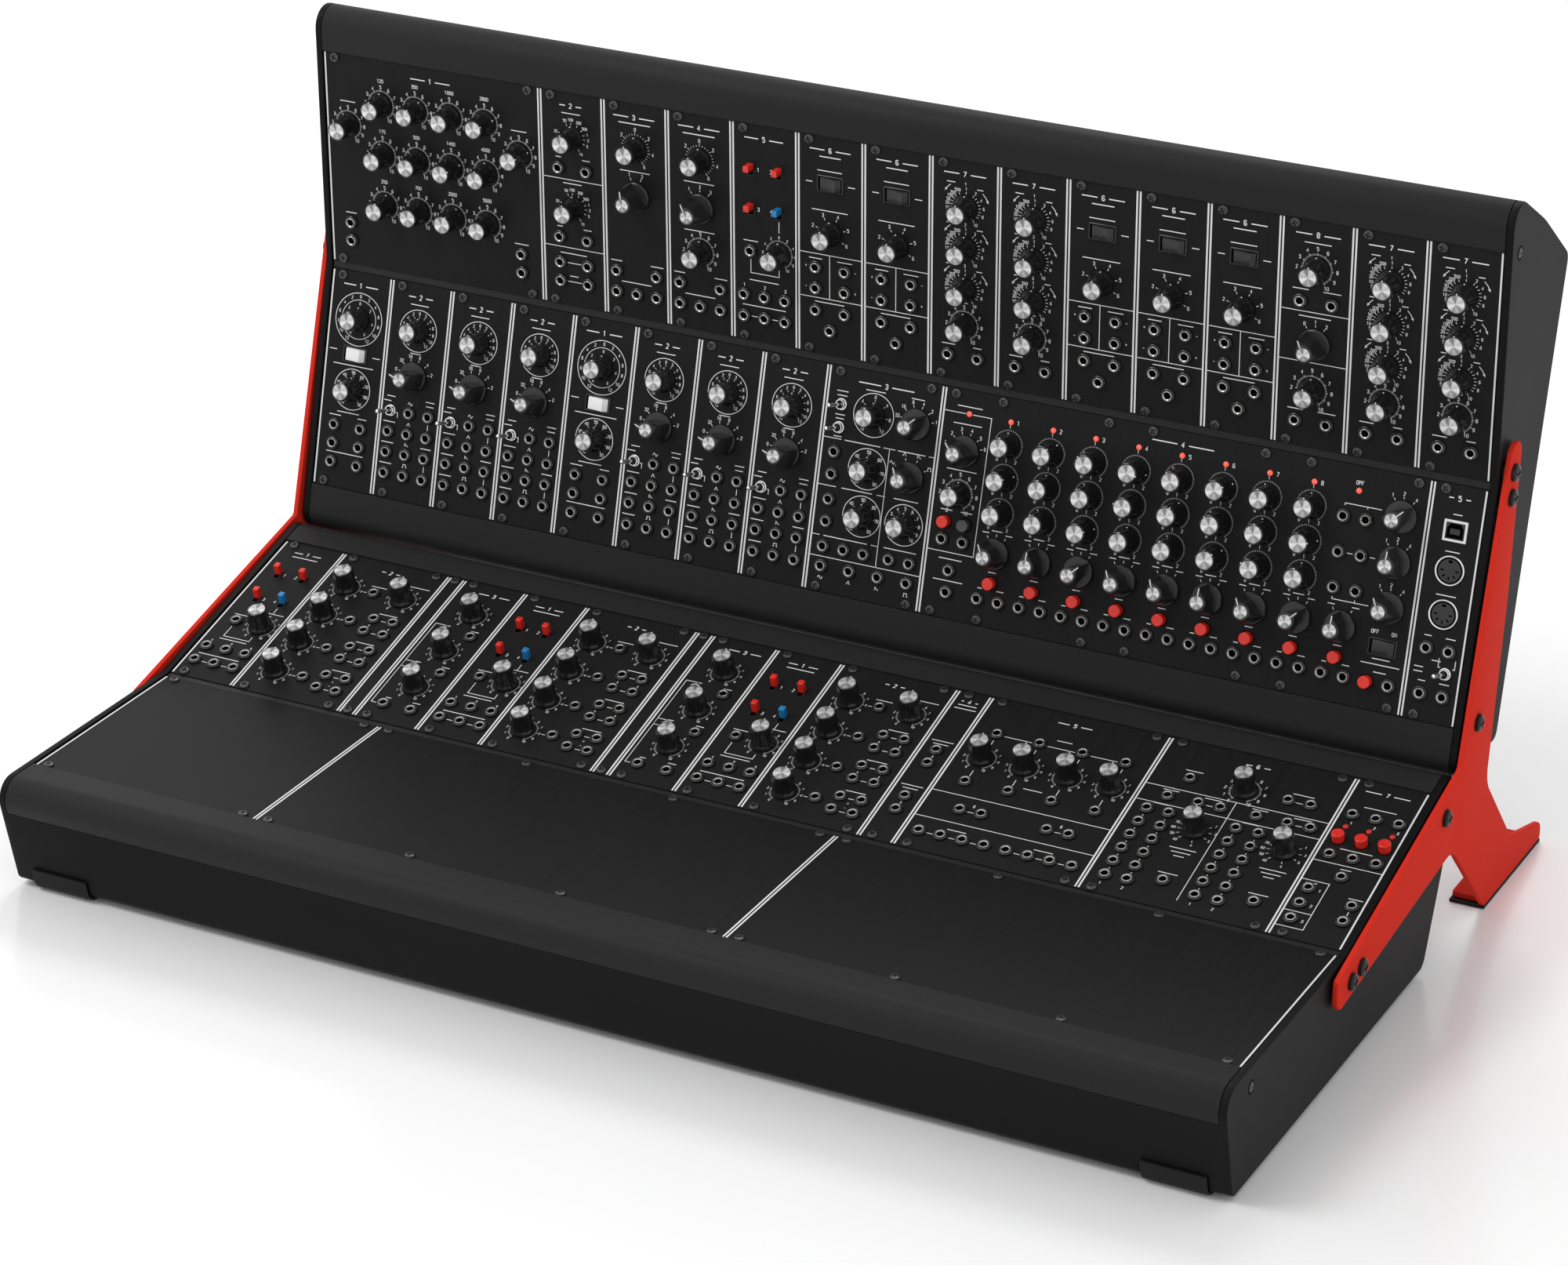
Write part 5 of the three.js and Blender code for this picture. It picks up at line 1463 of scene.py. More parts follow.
class SYNTH_OT_ports(bpy.types.Operator):
    """The square and round ports, and the lamps"""

    bl_idname = "synthesizer.ports"
    bl_label = "Ports and lamps"

    def execute(self, context):
        ports = Piece("data_ports")
        for kind, shapes in (("square_ports", square_port()), ("round_ports", round_port())):
            for row, _, _, x, y, _ in controls(kind):
                ports.add(shapes, ROWS[row] @ spot(x, y))
        ports.make()
        profile = [(1.6, -0.05), (1.6, 0.4), (1.4, 0.8), (0.95, 1.05), (0.3, 1.12)]
        lamps = Piece("lamps")
        for row in ROW_MODULES:
            for _, kind, start, _ in modules(row):
                for x, y in LAMPS.get(kind, []):
                    lens = turned(profile, 20, "lamp" if kind == "sequencer" else "faint_lamp")
                    lamps.add([lens], ROWS[row] @ spot(start + x, y))
        lamps.make()
        return {"FINISHED"}


# ---------------------------------------------------------------- screws


SEQUENCER_SCREWS = (SCREW_INSET, 36.0, 99.1, 125.0, 190.3, 216.4, 277.0)
BLANK_SCREWS = (95.9, 187.2)
BLANK_END_INSET = 8.4
SCREW_HEIGHTS = (3.0, 125.5)


def screw_places():
    """Each panel screw: its row and its point."""
    for row in ROW_MODULES:
        for _, kind, start, width in modules(row):
            places = (PITCH if kind == "spacer" else SCREW_INSET,)
            if kind == "sequencer":
                places = SEQUENCER_SCREWS
            elif width > 13 * PITCH:
                places = (SCREW_INSET, width - SCREW_INSET)
            for y in SCREW_HEIGHTS:
                for x in places:
                    yield row, start + x, y
    for first, last in BLANK_PANELS:
        inside = BLANK_SCREWS if last - first > 28 else ()
        for x in (first * PITCH + SCREW_INSET, *[first * PITCH + x for x in inside], last * PITCH - BLANK_END_INSET):
            for y in SCREW_HEIGHTS:
                yield "lower_front", x, y


class SYNTH_OT_screws(bpy.types.Operator):
    """The panel screws"""

    bl_idname = "synthesizer.screws"
    bl_label = "Panel screws"

    def execute(self, context):
        head = [cross_head(size("screw_radius"), 1.5, "screw_black")]
        pieces = {}
        for number, (row, x, y) in enumerate(screw_places()):
            piece = pieces.setdefault(row, Piece(f"panel_screws_{row}"))
            piece.add(head, ROWS[row] @ spot(x, y, -0.03, (number * 37) % 90))
        for piece in pieces.values():
            piece.make()
        return {"FINISHED"}


# ---------------------------------------------------------------- printing


# Figures and the letters of ON and OFF, as strokes on a grid four wide and six high
STROKES = {
    "0": ["01 05 16 36 45 41 30 10 01"],
    "1": ["05 26 20"],
    "2": ["05 16 36 45 44 00 40"],
    "3": ["05 16 36 45 44 33 42 41 30 10 01", "33 13"],
    "4": ["30 36 02 42"],
    "5": ["46 06 04 34 43 41 30 10 01"],
    "6": ["45 36 16 05 01 10 30 41 42 33 03"],
    "7": ["06 46 10"],
    "8": ["13 04 05 16 36 45 44 33 13 02 01 10 30 41 42 33"],
    "9": ["01 10 30 41 45 36 16 05 04 13 43"],
    "-": ["03 43"],
    "+": ["03 43", "21 25"],
    "O": ["01 05 16 36 45 41 30 10 01"],
    "N": ["00 06 40 46"],
    "F": ["00 06 46", "03 33"],
}

FIGURE_NARROWING = 0.78
FIGURE_WEIGHT = 0.16
FULL_TURN = 150
RING_SIDES = 48
BARB, BARB_SPREAD = 1.5, 0.36
# How far apart figures stand, and the gap after each, in widths of the grid
FIGURE_STEP, FIGURE_GAP = 5.9, 1.9
# The shift between the two equal halves of the patch interface, as a share of its width
HALF_SHIFT = 0.4755
TENS = "0 1 2 3 4 5 6 7 8 9 10"
TWELVES = "12 10 8 6 4 2 0 2 4 6 8 10 12"
SIXES = "6 4 2 0 2 4 6"
PERCENTS = "20 30 40 50 60 70 80"
BANDS = (None, None, *"125 350 1000 2800 175 500 1400 4000 250 700 2000 5600".split())
WAVES = {
    "sine": [(-1.3, -0.4), (-1.0, 0.5), (-0.6, 0.8), (-0.2, 0.4), (0.2, -0.4), (0.6, -0.8), (1.0, -0.5), (1.3, 0.4)],
    "triangle": [(-0.9, -0.8), (0, 0.9), (0.9, -0.8)],
    "ramp": [(-0.9, -0.8), (-0.9, 0.9), (0.9, -0.8)],
    "square": [(-1.4, -0.8), (-0.8, -0.8), (-0.8, 0.8), (0.8, 0.8), (0.8, -0.8), (1.4, -0.8)],
}


def spread(first, last, count):
    """Evenly spaced values."""
    return [first + (last - first) * i / (count - 1) for i in range(count)]


def polar(x, y, reach, degrees):
    """A point round a centre, at some degrees to the left of straight up."""
    angle = math.radians(degrees + 90)
    return x + reach * math.cos(angle), y + reach * math.sin(angle)


class Print:
    """The printing of one row. Places on it start at the lower left corner of a module."""

    def __init__(self, row):
        self.row, self.piece = row, Piece(f"printing_{row}")
        self.start = self.width = 0.0

    def line(self, *path, width=None, closed=False):
        path = [(self.start + x, y) for x, y in path]
        self.piece.add([ribbon(path, width or size("line_width"), closed=closed)], ROWS[self.row])

    def across(self, left, right, y):
        self.line((left, y), (right, y))

    def upright(self, x, first, last):
        self.line((x, first), (x, last))

    def rule(self, y):
        """A line over the whole width of a module."""
        self.across(0.8, self.width - 1.4, y)

    def dividers(self):
        """The bold lines along both sides of a module."""
        for x in (0.93, self.width - 0.93):
            self.line((x, 0.7), (x, PANEL_HEIGHT - 0.7), width=0.98)

    def ring(self, x, y, radius, width=None):
        points = [polar(x, y, radius, 360 * i / RING_SIDES - 90) for i in range(RING_SIDES)]
        self.line(*points, width=width, closed=True)

    def figures(self, text, x, y, height=None, width=None):
        """Figures round a point."""
        height = height or size("digit_height")
        unit = height / 6
        across = unit * FIGURE_NARROWING
        advance = FIGURE_STEP * across
        pen = x - (advance * len(text) - FIGURE_GAP * across) / 2
        for letter in text:
            for stroke in STROKES[letter]:
                path = [(pen + int(column) * across, y + (int(line) - 3) * unit) for column, line in stroke.split()]
                closed = path[0] == path[-1]
                self.line(*(path[:-1] if closed else path), width=width or FIGURE_WEIGHT * height, closed=closed)
            pen += advance

    def count(self, *places):
        """Figures from 1 on, one at each place."""
        for number, (x, y) in enumerate(places, 1):
            self.figures(str(number), x, y, 1.8)

    def ticks(self, x, y, inner, outer, degrees, width=0.3):
        """Strokes round a knob, each at its degrees to the left of straight up."""
        for degree in degrees:
            self.line(polar(x, y, inner, degree), polar(x, y, outer, degree), width=width)

    def around(self, x, y, reach, words, degrees, height=None):
        for word, degree in zip(words.split(), degrees):
            self.figures(word, *polar(x, y, reach, degree), height)

    def scale(self, x, y, reaches, words, degrees, height=None, width=0.3):
        """Ticks round a knob, each with its figures. One number of degrees stands for an even spread."""
        if not isinstance(degrees, tuple):
            degrees = spread(degrees, -degrees, len(words.split()))
        inner, outer, middle = reaches
        self.ticks(x, y, inner, outer, degrees, width)
        self.around(x, y, middle, words, degrees, height)

    def fine_ticks(self, x, y, inner, outer, count, width):
        self.ticks(x, y, inner, outer, spread(FULL_TURN, -FULL_TURN, count), width)

    def ten_dial(self, x, y, reach=10.7):
        self.fine_ticks(x, y, 7.8, 8.7, 51, 0.2)
        self.scale(x, y, (7.8, 9.2, reach), TENS, FULL_TURN, width=0.34)

    def small_dial(self, x, y, words=TENS):
        """A dial with small figures close round the knob."""
        self.fine_ticks(x, y, 7.6, 8.4, 51, 0.18)
        self.scale(x, y, (7.6, 8.8, 10.1), words, FULL_TURN, 1.45)

    def signed_dial(self, x, y):
        self.fine_ticks(x, y, 7.9, 9.0, 25, 0.22)
        self.scale(x, y, (7.9, 9.6, 11.3), SIXES, FULL_TURN, width=0.34)

    def ring_dial(self, x, y, radius, words, height=1.7):
        """A dial inside a printed ring."""
        self.ring(x, y, radius)
        self.scale(x, y, (7.6, radius - 3.6, radius - 2.1), words, 144, height, 0.28)

    def selector_marks(self, x, y, words, degrees):
        self.scale(x, y, (9.5, 10.8, 12.4), words, degrees, 1.8, 0.36)

    def arrow(self, *path):
        """A line with an arrowhead at its last point."""
        self.line(*path)
        (fx, fy), (tx, ty) = path[-2:]
        along = math.atan2(ty - fy, tx - fx)
        barbs = [(tx - BARB * math.cos(along + turn), ty - BARB * math.sin(along + turn))
                 for turn in (BARB_SPREAD, -BARB_SPREAD)]
        self.line(barbs[0], (tx, ty), barbs[1])

    def wave(self, x, y, shape):
        self.line(*[(x + px * 1.1, y + py * 1.1) for px, py in WAVES[shape]], width=0.36)

    def caption(self, x, y, width, weight=0.5):
        """A short rule over the control that it belongs to."""
        self.line((x - width / 2, y), (x + width / 2, y), width=weight)

    def title(self, number, x, y, width):
        """A module's number between two rules."""
        self.figures(str(number), x, y, 2.7, 0.5)
        for sign in (-1, 1):
            self.line((x + sign * 3.4, y), (x + sign * max(width / 2, 4.6), y), width=0.62)

    def band_dial(self, x, y, band):
        """A dial of the filter bank, under its frequency or a caption."""
        self.ten_dial(x, y, 10.5)
        if band:
            self.figures(band, x, y + 14.2, 1.9)
        else:
            self.caption(x, y + 14.0, 10)

    def time_dial(self, number, x, y):
        """A dial of the envelope, with two arrows that point round it."""
        degrees = (111, 97, 82, 70, 57, 44, 26, -2, -33, -59, -85, -110, -146)
        self.scale(x, y, (7.8, 9.2, 10.9), "5 10 20 50 100 200 500 1 2 4 6 8 10", degrees, 1.6)
        self.ticks(x, y, 7.8, 9.2, (-46, -72, -98, -122))
        self.figures(str(number), x, y + 13.6, 1.6)
        self.caption(12.0, y + 13.8, 5)
        self.caption(29.4, y + 11.4, 3.6)
        self.arrow((x - 9.0, y + 12.2), (x - 10.8, y + 10.6), (x - 12.2, y + 8.6))
        self.arrow((x + 10.2, y + 9.6), (x + 12.2, y + 7.4), (x + 13.5, y + 4.6))

    def voltages(self, slides, knob, inlet):
        """The numbers of four slides, and the lines from the last of them and from an inlet to the knob."""
        for number, (x, y) in enumerate(slides):
            self.figures(str(number + 1), x + (-4.8 if number % 2 else 4.8), y, 2.1)
        (kx, ky), (ix, iy) = knob, inlet
        self.upright(kx, slides[-1][1] - 5.2, ky + 12.6)
        self.line((ix, iy - 5), (ix, ky - 13.5), (kx, ky - 13.5), (kx, ky - 9.5))
        self.caption(ix, iy + 5.8, 9)

    def steps(self):
        """The marks of the sequencer's steps and the lines between its outlets."""
        for x, y in control_points("sequencer", "knobs")[1:]:
            self.ticks(x, y, 8.0, 8.7, spread(144, -144, 41), 0.2)
            self.around(x, y, 10.3, "0 1 2", (147, 0, -147), 1.7)
        for step, (x, y) in enumerate(control_points("sequencer", "selectors")[1:10]):
            if step < 8:
                self.figures(str(step + 1), x + 4.6, 115.4, 2.2)
                self.caption(x, y + 12.9, 6.4)
            self.ticks(x, y, 9.7, 11.2, (30, 0, -30) if step < 8 else (30, -30), 0.36)
            for shift, up, width in ((-6.6, y + 11.4, 4.0), (7.4, y + 11.4, 4.2), (0, 30.8, 4.6), (-6.2, 21.0, 2.6),
                                     (6.2, 21.0, 4.2)):
                self.caption(x + shift, up, width)
        for x, y in control_points("sequencer", "selectors")[10:]:
            self.selector_marks(x, y, "1 2 4", (30, 0, -35))
        left, right, end = 0.8362 * self.width, 0.8812 * self.width, 258.6
        for rim, level in ((106.2, 107.4), (56.6, 55.2)):
            self.line((left, rim), (left, level), (end, level))
            self.upright(right, rim, level)
        self.across(left + 4.8, right - 4.8, 81.0)
        self.across(right + 4.8, end, 81.0)

    def switch_halves(self):
        """The marks of the patch interface: two equal halves under one dial."""
        self.ten_dial(0.506 * self.width, 99.7, 11.2)
        self.caption(0.211 * self.width, 106, 10)
        self.caption(0.796 * self.width, 106, 12)
        self.across(0.756 * self.width, 0.836 * self.width, 99.6)
        degrees = (142, 116, 92, 70, 48, -56, -86, -118, -166)
        for half, (kx, ky) in enumerate(control_points("patch_interface", "knobs")[1:]):
            shift = half * HALF_SHIFT
            x = shift * self.width
            self.across(x + 38.6, x + 42.8, 82.4)
            self.scale(kx, ky, (7.9, 9.6, 11.7), "40 50 60 70 80 1 2 3 4", degrees, 1.6)
            for middle, y, width in ((x + 16.8, 87.8, 9), (x + 41, 87.8, 10), (x + 16, 75.9, 9), (kx, ky - 15.5, 15),
                                     (kx, ky - 18.5, 11), (kx, ky - 21.5, 6), (kx, 25.8, 11)):
                self.caption(middle, y, width)
            for number, share in (("1", 0.0955), ("2", 0.213)):
                x = (share + shift) * self.width
                self.figures(number, x, 7.6, 1.8)
                for one, other in zip(SWITCH_ROWS, SWITCH_ROWS[1:]):
                    y = (one + other) / 2 * PANEL_HEIGHT
                    self.line((x, y - 0.9), (x, y + 0.9), width=0.3)


# What is printed on each kind of module: the name of the mark in Print, with the values of each such mark
PRINTING = {
    "filter_bank": {
        "title": [(1, 70.6, 120.3, 26)],
        "band_dial": [(*point, band) for point, band in zip(control_points("filter_bank", "knobs"), BANDS)],
        "caption": [(13.8684, 31.9, 7), (128.016, 31.9, 9)],
    },
    "noise_filter": {
        "title": [(2, 19.9, 120.3, 14)],
        "scale": [(20.3, y, (7.3, 8.7, 10.6), "20 50 100 200 500 1 2 5 10",
                   (76, 24, 3, -26, -52, -72, -90, -110, -147), 1.5) for y in (101.6, 59.9)],
        "caption": [(20, 115.8, 12), (20, 74.1, 12), (11.3, 89.2, 3.4), (11.3, 47.6, 3.4), (29.2, 89.2, 5),
                    (29.2, 47.6, 5), (19.8, 31.8, 17), (19.8, 18.2, 5.5)],
        "rule": [(76.4,), (35.3,)],
        "across": [(15.6, 25, 26.1), (15.6, 25, 14.8)],
    },
    "high_pass": {
        "title": [(3, 19.7, 119.9, 26)],
        "signed_dial": [(20.3, 101.6)],
        "scale": [(20.3, 73.4, (9.7, 11.3, 13.1), "1 2", 18, None, 0.36)],
        "caption": [(20, 116.2, 20, 0.6), (19.8, 88.0, 19), (7, 33.2, 7), (33, 33.2, 8), (19.7, 21.2, 19)],
    },
    "low_pass": {
        "title": [(4, 20.1, 120.4, 26)],
        "signed_dial": [(20.3, 101.6)],
        "selector_marks": [(20.3, 73.4, "1 2 3", 33)],
        "ten_dial": [(20.3, 47.2)],
        "caption": [(20, 116.4, 20, 0.6), (19.8, 88.2, 19), (19.8, 59.6, 19), (6.8, 33.2, 7), (33, 33.2, 8),
                    (19.8, 21.1, 19)],
    },
    "control_voltages": {
        "title": [(5, 19.9, 120.1, 24)],
        "voltages": [(grid((11.6, 29.1), (102.0, 78.8)), (29.1, 54.3), (11.4, 53.9))],
        "small_dial": [(29.1, 54.3, "10 8 6 4 2 0 2 4 6 8 10")],
        "caption": [(19.7, 36.6, 18), (19.6, 21.2, 27)],
        "count": [((7.3, 33.0), (20.1, 33.0), (32.9, 33.0))],
        "across": [(11.7, 15.7, 14.8), (24.5, 28.5, 14.8)],
    },
    "amplifier": {
        "title": [(6, 20.1, 120.3, 25)],
        "scale": [(20.3, 72.1, (8.2, 9.7, 11.4), "1 2 3 4 5 6", 120, None, 0.34)],
        "caption": [(20.1, 116.4, 13, 0.6), (19.8, 108.3, 15), (7.2, 101, 4), (33.2, 101, 4.4), (19.9, 85.2, 22),
                    (11.1, 56.4, 8), (29, 56.4, 9), (19.8, 31.0, 18)],
        "rule": [(59.2,), (33.3,)],
        "upright": [(19.8, 59.2, 33.3)],
        "figures": [("+", 5.2, 51.4, 1.8), ("-", 5.2, 39.2, 1.8), ("-", 35.6, 51.4, 1.8), ("+", 35.6, 39.2, 1.8)],
    },
    "envelope": {
        "title": [(7, 20.2, 120.2, 25)],
        "time_dial": [(1, 20.7, 101.2), (2, 20.7, 77.8), (3, 20.7, 54.0)],
        "ten_dial": [(20.7, 33.0, 10.6)],
        "caption": [(20.7, 46.0, 4), (28.9, 20.7, 5), (11.5, 20.8, 8)],
    },
    "delay": {
        "title": [(8, 20.4, 120.3, 25)],
        "ten_dial": [(20.5, 101.3, 11.4), (20.5, 32.8, 11.4)],
        "selector_marks": [(21.1, 59.3, "0 1 2", 30)],
        "caption": [(20.5, 115.6, 15), (11.9, 89.3, 9), (29.6, 89.3, 10), (20.5, 74.3, 18), (11.9, 21.2, 9),
                    (29.6, 21.2, 10)],
        "rule": [(76.9,), (48.6,)],
    },
    "driver": {
        "title": [(1, 19.9, 120.6, 23)],
        "ring": [(20.5, 100.9, 15.6), (20.5, 100.9, 11.5, 0.34)],
        "around": [(20.5, 100.9, 13.6, TWELVES, spread(FULL_TURN, -FULL_TURN, 13), 1.7),
                   (20.5, 100.9, 9.4, SIXES, spread(FULL_TURN, -FULL_TURN, 7), 1.5)],
        "ring_dial": [(20.5, 59.3, 12.1, "10 20 30 40 50 60 70 80 90")],
        "caption": [(5.3, 81.4, 5), (34.7, 80, 5), (19.8, 73.3, 27), (19.4, 45.2, 15), (10.8, 42.8, 8),
                    (29.2, 42.8, 6), (19.5, 20.8, 25)],
    },
    "oscillator": {
        "title": [(2, 20.0, 120.4, 16)],
        "ring_dial": [(20.3, 101.0, 12.3, TWELVES, 1.6)],
        "selector_marks": [(20.1, 73.6, "0 32 16 8 4 2", 75)],
        "caption": [(19.7, 116.0, 12), (20.1, 87.5, 7), (6.8, 60.4, 5.5), (4.6, 57.6, 5), (33, 60.8, 6),
                    (33, 58.2, 5), (7.0, 45.3, 8), (7.0, 33.0, 8), (7.0, 20.7, 8), (33, 33.2, 7)],
        "wave": [*zip((19.9,) * 4, (57.7, 45.5, 33.3, 20.9), WAVES)],
        "line": [((9.8, 51.2), (12.0, 51.2), (12.0, 48.3))],
        "upright": [(32.9, 44.0, 47.6), (32.9, 19.3, 22.9)],
    },
    "large_oscillator": {
        "title": [(3, 36.1, 121.4, 34)],
        "ring_dial": [(30.2, 104.3, 12.3, "12 8 4 0 4 8 12"), (30.2, 73.8, 11.6, PERCENTS),
                      (30.2, 46.8, 11.6, PERCENTS), (56.3, 46.8, 11.6, TENS)],
        "selector_marks": [(56.5, 103.9, "32 16 8 4 2 1", 75)],
        "ticks": [(56.3, 73.8, 9.6, 11.0, spread(60, -60, 4), 0.32)],
        "wave": [*zip((9.2, 26.9, 44.6, 62.4), (8.2,) * 4, WAVES),
                 *[(*polar(56.3, 73.8, 13.2, degrees), shape) for degrees, shape in zip(spread(60, -60, 4), WAVES)]],
        "caption": [(30, 117.9, 12), (56, 117.9, 8), (9.9, 114.5, 7), (9.9, 112, 6), (9.9, 101.2, 6), (9.9, 99.0, 5),
                    (9.9, 88.9, 5), (25.5, 87.5, 22), (56, 87.5, 17), (25.5, 60.5, 19), (56, 60.7, 15),
                    (22, 32.0, 27), (56, 32.2, 20)],
        "across": [(1.2, 12.5, 87.5), (38.5, 46, 87.5), (66.5, 69.72, 87.5), (1.2, 12.5, 60.5), (38, 43, 60.5),
                   (1.2, 6, 32.0), (38, 42.6, 32.0), (1.2, 69.72, 20.1)],
        "upright": [(42.4, 87.5, 20.1)],
    },
    "sequencer": {
        "title": [(4, 142.7, 121.2, 36)],
        "steps": [()],
        "selector_marks": [(16.2, 94.4, "1 2 3 4 5 6", 75)],
        "ten_dial": [(15.6, 70.0, 11.2)],
        "caption": [(16.4, 119.2, 15), (16.2, 109.4, 17), (16, 83.6, 18), (9.8, 60.6, 7), (22, 60.6, 7),
                    (15.7, 33.4, 14), (15.7, 21.2, 18), (244.6, 119.6, 1.0), (269.7, 28.0, 10), (269.7, 25.0, 22),
                    (270, 20.8, 7)],
        "line": [((18.6, 115.3), (29.9, 115.3), (29.2, 37.1), (1.2, 37.1))],
        "across": [(1.2, 14.4, 115.3)],
        "figures": [("OFF", 244.6, 119.4, 2.0), ("OFF", 264.4, 42.6, 2.0), ("ON", 275.2, 42.6, 2.0)],
    },
    "ports": {
        "title": [(5, 15.6, 121.2, 12)],
        "caption": [(15.7, 112.6, 5), (15.7, 92.6, 8), (15.7, 69.0, 11), (9.1, 46.4, 4), (21.7, 46.4, 5.5),
                    (15.6, 33.6, 5), (9.1, 21.8, 4), (21.7, 21.8, 5.5), (6.4, 29, 5), (6.4, 26.4, 5)],
        "line": [((17.0, 35.4), (17.0, 30.6), (18.2, 30.6)), ((26.2, 35.4), (26.2, 30.6), (25.0, 30.6))],
    },
    "controller": {
        "title": [(1, 19.9, 119.9, 18)],
        "voltages": [(grid((11.9, 29.0), (98.8, 75.3)), (29.1, 51.9), (11.9, 52.7))],
        "small_dial": [(29.1, 51.9)],
        "caption": [(19.9, 116.2, 17, 0.6), (30, 64.8, 13), (19.7, 36.0, 18), (19.6, 20.6, 27)],
        "count": [((7.6, 32.8), (20.6, 32.8), (33.7, 32.8))],
        "across": [(12.1, 16.1, 14.0), (25.2, 29.2, 14.0)],
    },
    "mixer": {
        "title": [(2, 36.0, 120.2, 12)],
        "small_dial": [(17.6, 100.0), (17.6, 73.2), (17.6, 46.5), (17.6, 19.7), (55.4, 99.8)],
        "caption": [(36.1, 106.4, 10), (58, 113.0, 16), (54.7, 85.1, 12), (54.7, 58.2, 12), (54.7, 31.5, 12)],
        "across": [*[(29.0, 31.8, y) for y in (100.0, 73.2, 46.5, 19.7)],
                   *[(53.0, 56.4, y) for y in (79.2, 67.6, 52.3, 41.0, 25.6, 14.4)]],
        "upright": [(48.3, 72.2, 74.6), (61.1, 72.2, 74.6), (48.3, 45.6, 47.7), (61.1, 45.6, 47.7)],
        "figures": [("+", 54.7, 21.8, 1.6), ("-", 54.7, 18.0, 1.6)],
    },
    "attenuators": {
        "title": [(3, 24, 119.9, 20)],
        "small_dial": [(21.3, 100.0), (21.3, 66.2), (21.3, 32.9)],
        "caption": [(29.5, 87.6, 5), (29.5, 53.8, 5), (29.5, 20.5, 5), (11.5, 88.0, 3.4), (11.5, 53.7, 3.4),
                    (11.5, 20.1, 3.4)],
        "line": [((11.5, 53.2), (3.4, 53.2), (3.4, 14.3), (6.6, 14.3)),
                 ((11.5, 88.0), (3.4, 88.0), (3.4, 47.9), (6.6, 47.9))],
    },
    "noise": {
        "title": [(4, 10.2, 120.4, 10)],
        "caption": [(10.2, 117.2, 11, 0.6), (10.2, 114.2, 13, 0.6), (10.2, 85.4, 13), (10.2, 82.8, 9),
                    (10.2, 46.6, 13), (10.2, 44.0, 9)],
        "upright": [(10.3, 69.8, 73.0), (10.3, 29.8, 33.0)],
    },
    "four_attenuators": {
        "title": [(5, 53.3, 120.2, 20)],
        "small_dial": [(x, 79.0) for x, _ in control_points("four_attenuators", "knobs")],
        "upright": [(x, *ends) for x, _ in control_points("four_attenuators", "knobs")
                    for ends in ((89.8, 95.0), (63.0, 68.6))],
        "caption": [(53.3, 106, 9), (53.3, 63.6, 11), (28.5, 20.2, 11), (79, 20.2, 11)],
        "rule": [(47.7,), (26.0,)],
        "across": [(20, 37, 99.9), (45.6, 62, 99.9), (71, 87, 99.9), (27.1, 31.1, 36.5), (77.9, 81.9, 36.5),
                   *[(15.57528 + 12.69492 * k - 2.0, 15.57528 + 12.69492 * k + 2.0, 14.0) for k in (0, 1, 2, 4, 5, 6)]],
        "figures": [("6", 29.1, 41.5, 1.8), ("6", 79.9, 41.5, 1.8)],
    },
    "patch_interface": {
        "title": [(6, 53.3, 120.2, 14)],
        "switch_halves": [()],
        "rule": [(89.6,), (76.2,)],
        "upright": [(53.3, 89.6, 8.0)],
    },
    "stage_switch": {
        "title": [(7, 20.0, 120.2, 25)],
        "caption": [(20.5, 107.8, 18), (20.5, 73.0, 18), (20.5, 58.0, 6), (7.5, 43.2, 6), (33.7, 38.2, 8)],
        "count": [((9.6, 93.6), (22.6, 93.6), (35.6, 93.6)), ((13.8, 38.5), (13.8, 26.3), (13.8, 14.0))],
        "rule": [(61.0,)],
        "line": [((1.2, 45.2), (16.6, 45.2), (16.6, 8.0), (1.2, 8.0))],
        "across": [(1.2, 16.6, 20.2)],
        "upright": [(33.7, 24.2, 28.4)],
    },
}


class SYNTH_OT_printing(bpy.types.Operator):
    """The scale figures, lines and dividers on the panels"""

    bl_idname = "synthesizer.printing"
    bl_label = "Printing"

    def execute(self, context):
        for row in ROW_MODULES:
            page = Print(row)
            for _, kind, page.start, page.width in modules(row):
                for mark, uses in PRINTING.get(kind, {}).items():
                    for values in uses:
                        getattr(page, mark)(*values)
                page.dividers()
            page.piece.make(sharp=40)
        page = Print("lower_front")
        for first, last in BLANK_PANELS:
            page.start, page.width = first * PITCH, (last - first) * PITCH
            page.dividers()
        page.piece.make(sharp=40)
        return {"FINISHED"}


# ---------------------------------------------------------------- panels and inside


class SYNTH_OT_panels(bpy.types.Operator):
    """The finish of the panels and of the boards and supply inside"""

    bl_idname = "synthesizer.panels"
    bl_label = "Panels and inside"

    def execute(self, context):
        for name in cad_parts:
            if "panel" in name:
                refinish(name, "panel_black")
            elif name.endswith("bus_board"):
                refinish(name, "board")
            elif name == "power_supply":
                refinish(name, "supply")
        return {"FINISHED"}


# ---------------------------------------------------------------- stage


CAMERA_PLACE = (1.0854, -2.1034, 1.2388)
CAMERA_AXES = ((0.88842, -0.19569, 0.41522), (0.45901, 0.37177, -0.80691), (0.00354, 0.90747, 0.42011))
CAMERA_LENS, SENSOR_WIDTH, FAR_CLIP = 110.3, 36, 50
# Each light: its place, its size in metres, its power in watts
LIGHTS = {
    "key": ((-1.5, -1.3, 2.7), 1.3, 34),
    "fill": ((2.3, -2.2, 1.9), 1.6, 4),
    "rim": ((-0.5, 1.7, 2.4), 1.2, 22),
}
AIM = (0.0, 0.0, 0.15)
# The world's strength on the object and the floor; the camera sees it as white
STUDIO_LIGHT = 0.78
FLOOR_REACH = 14.0


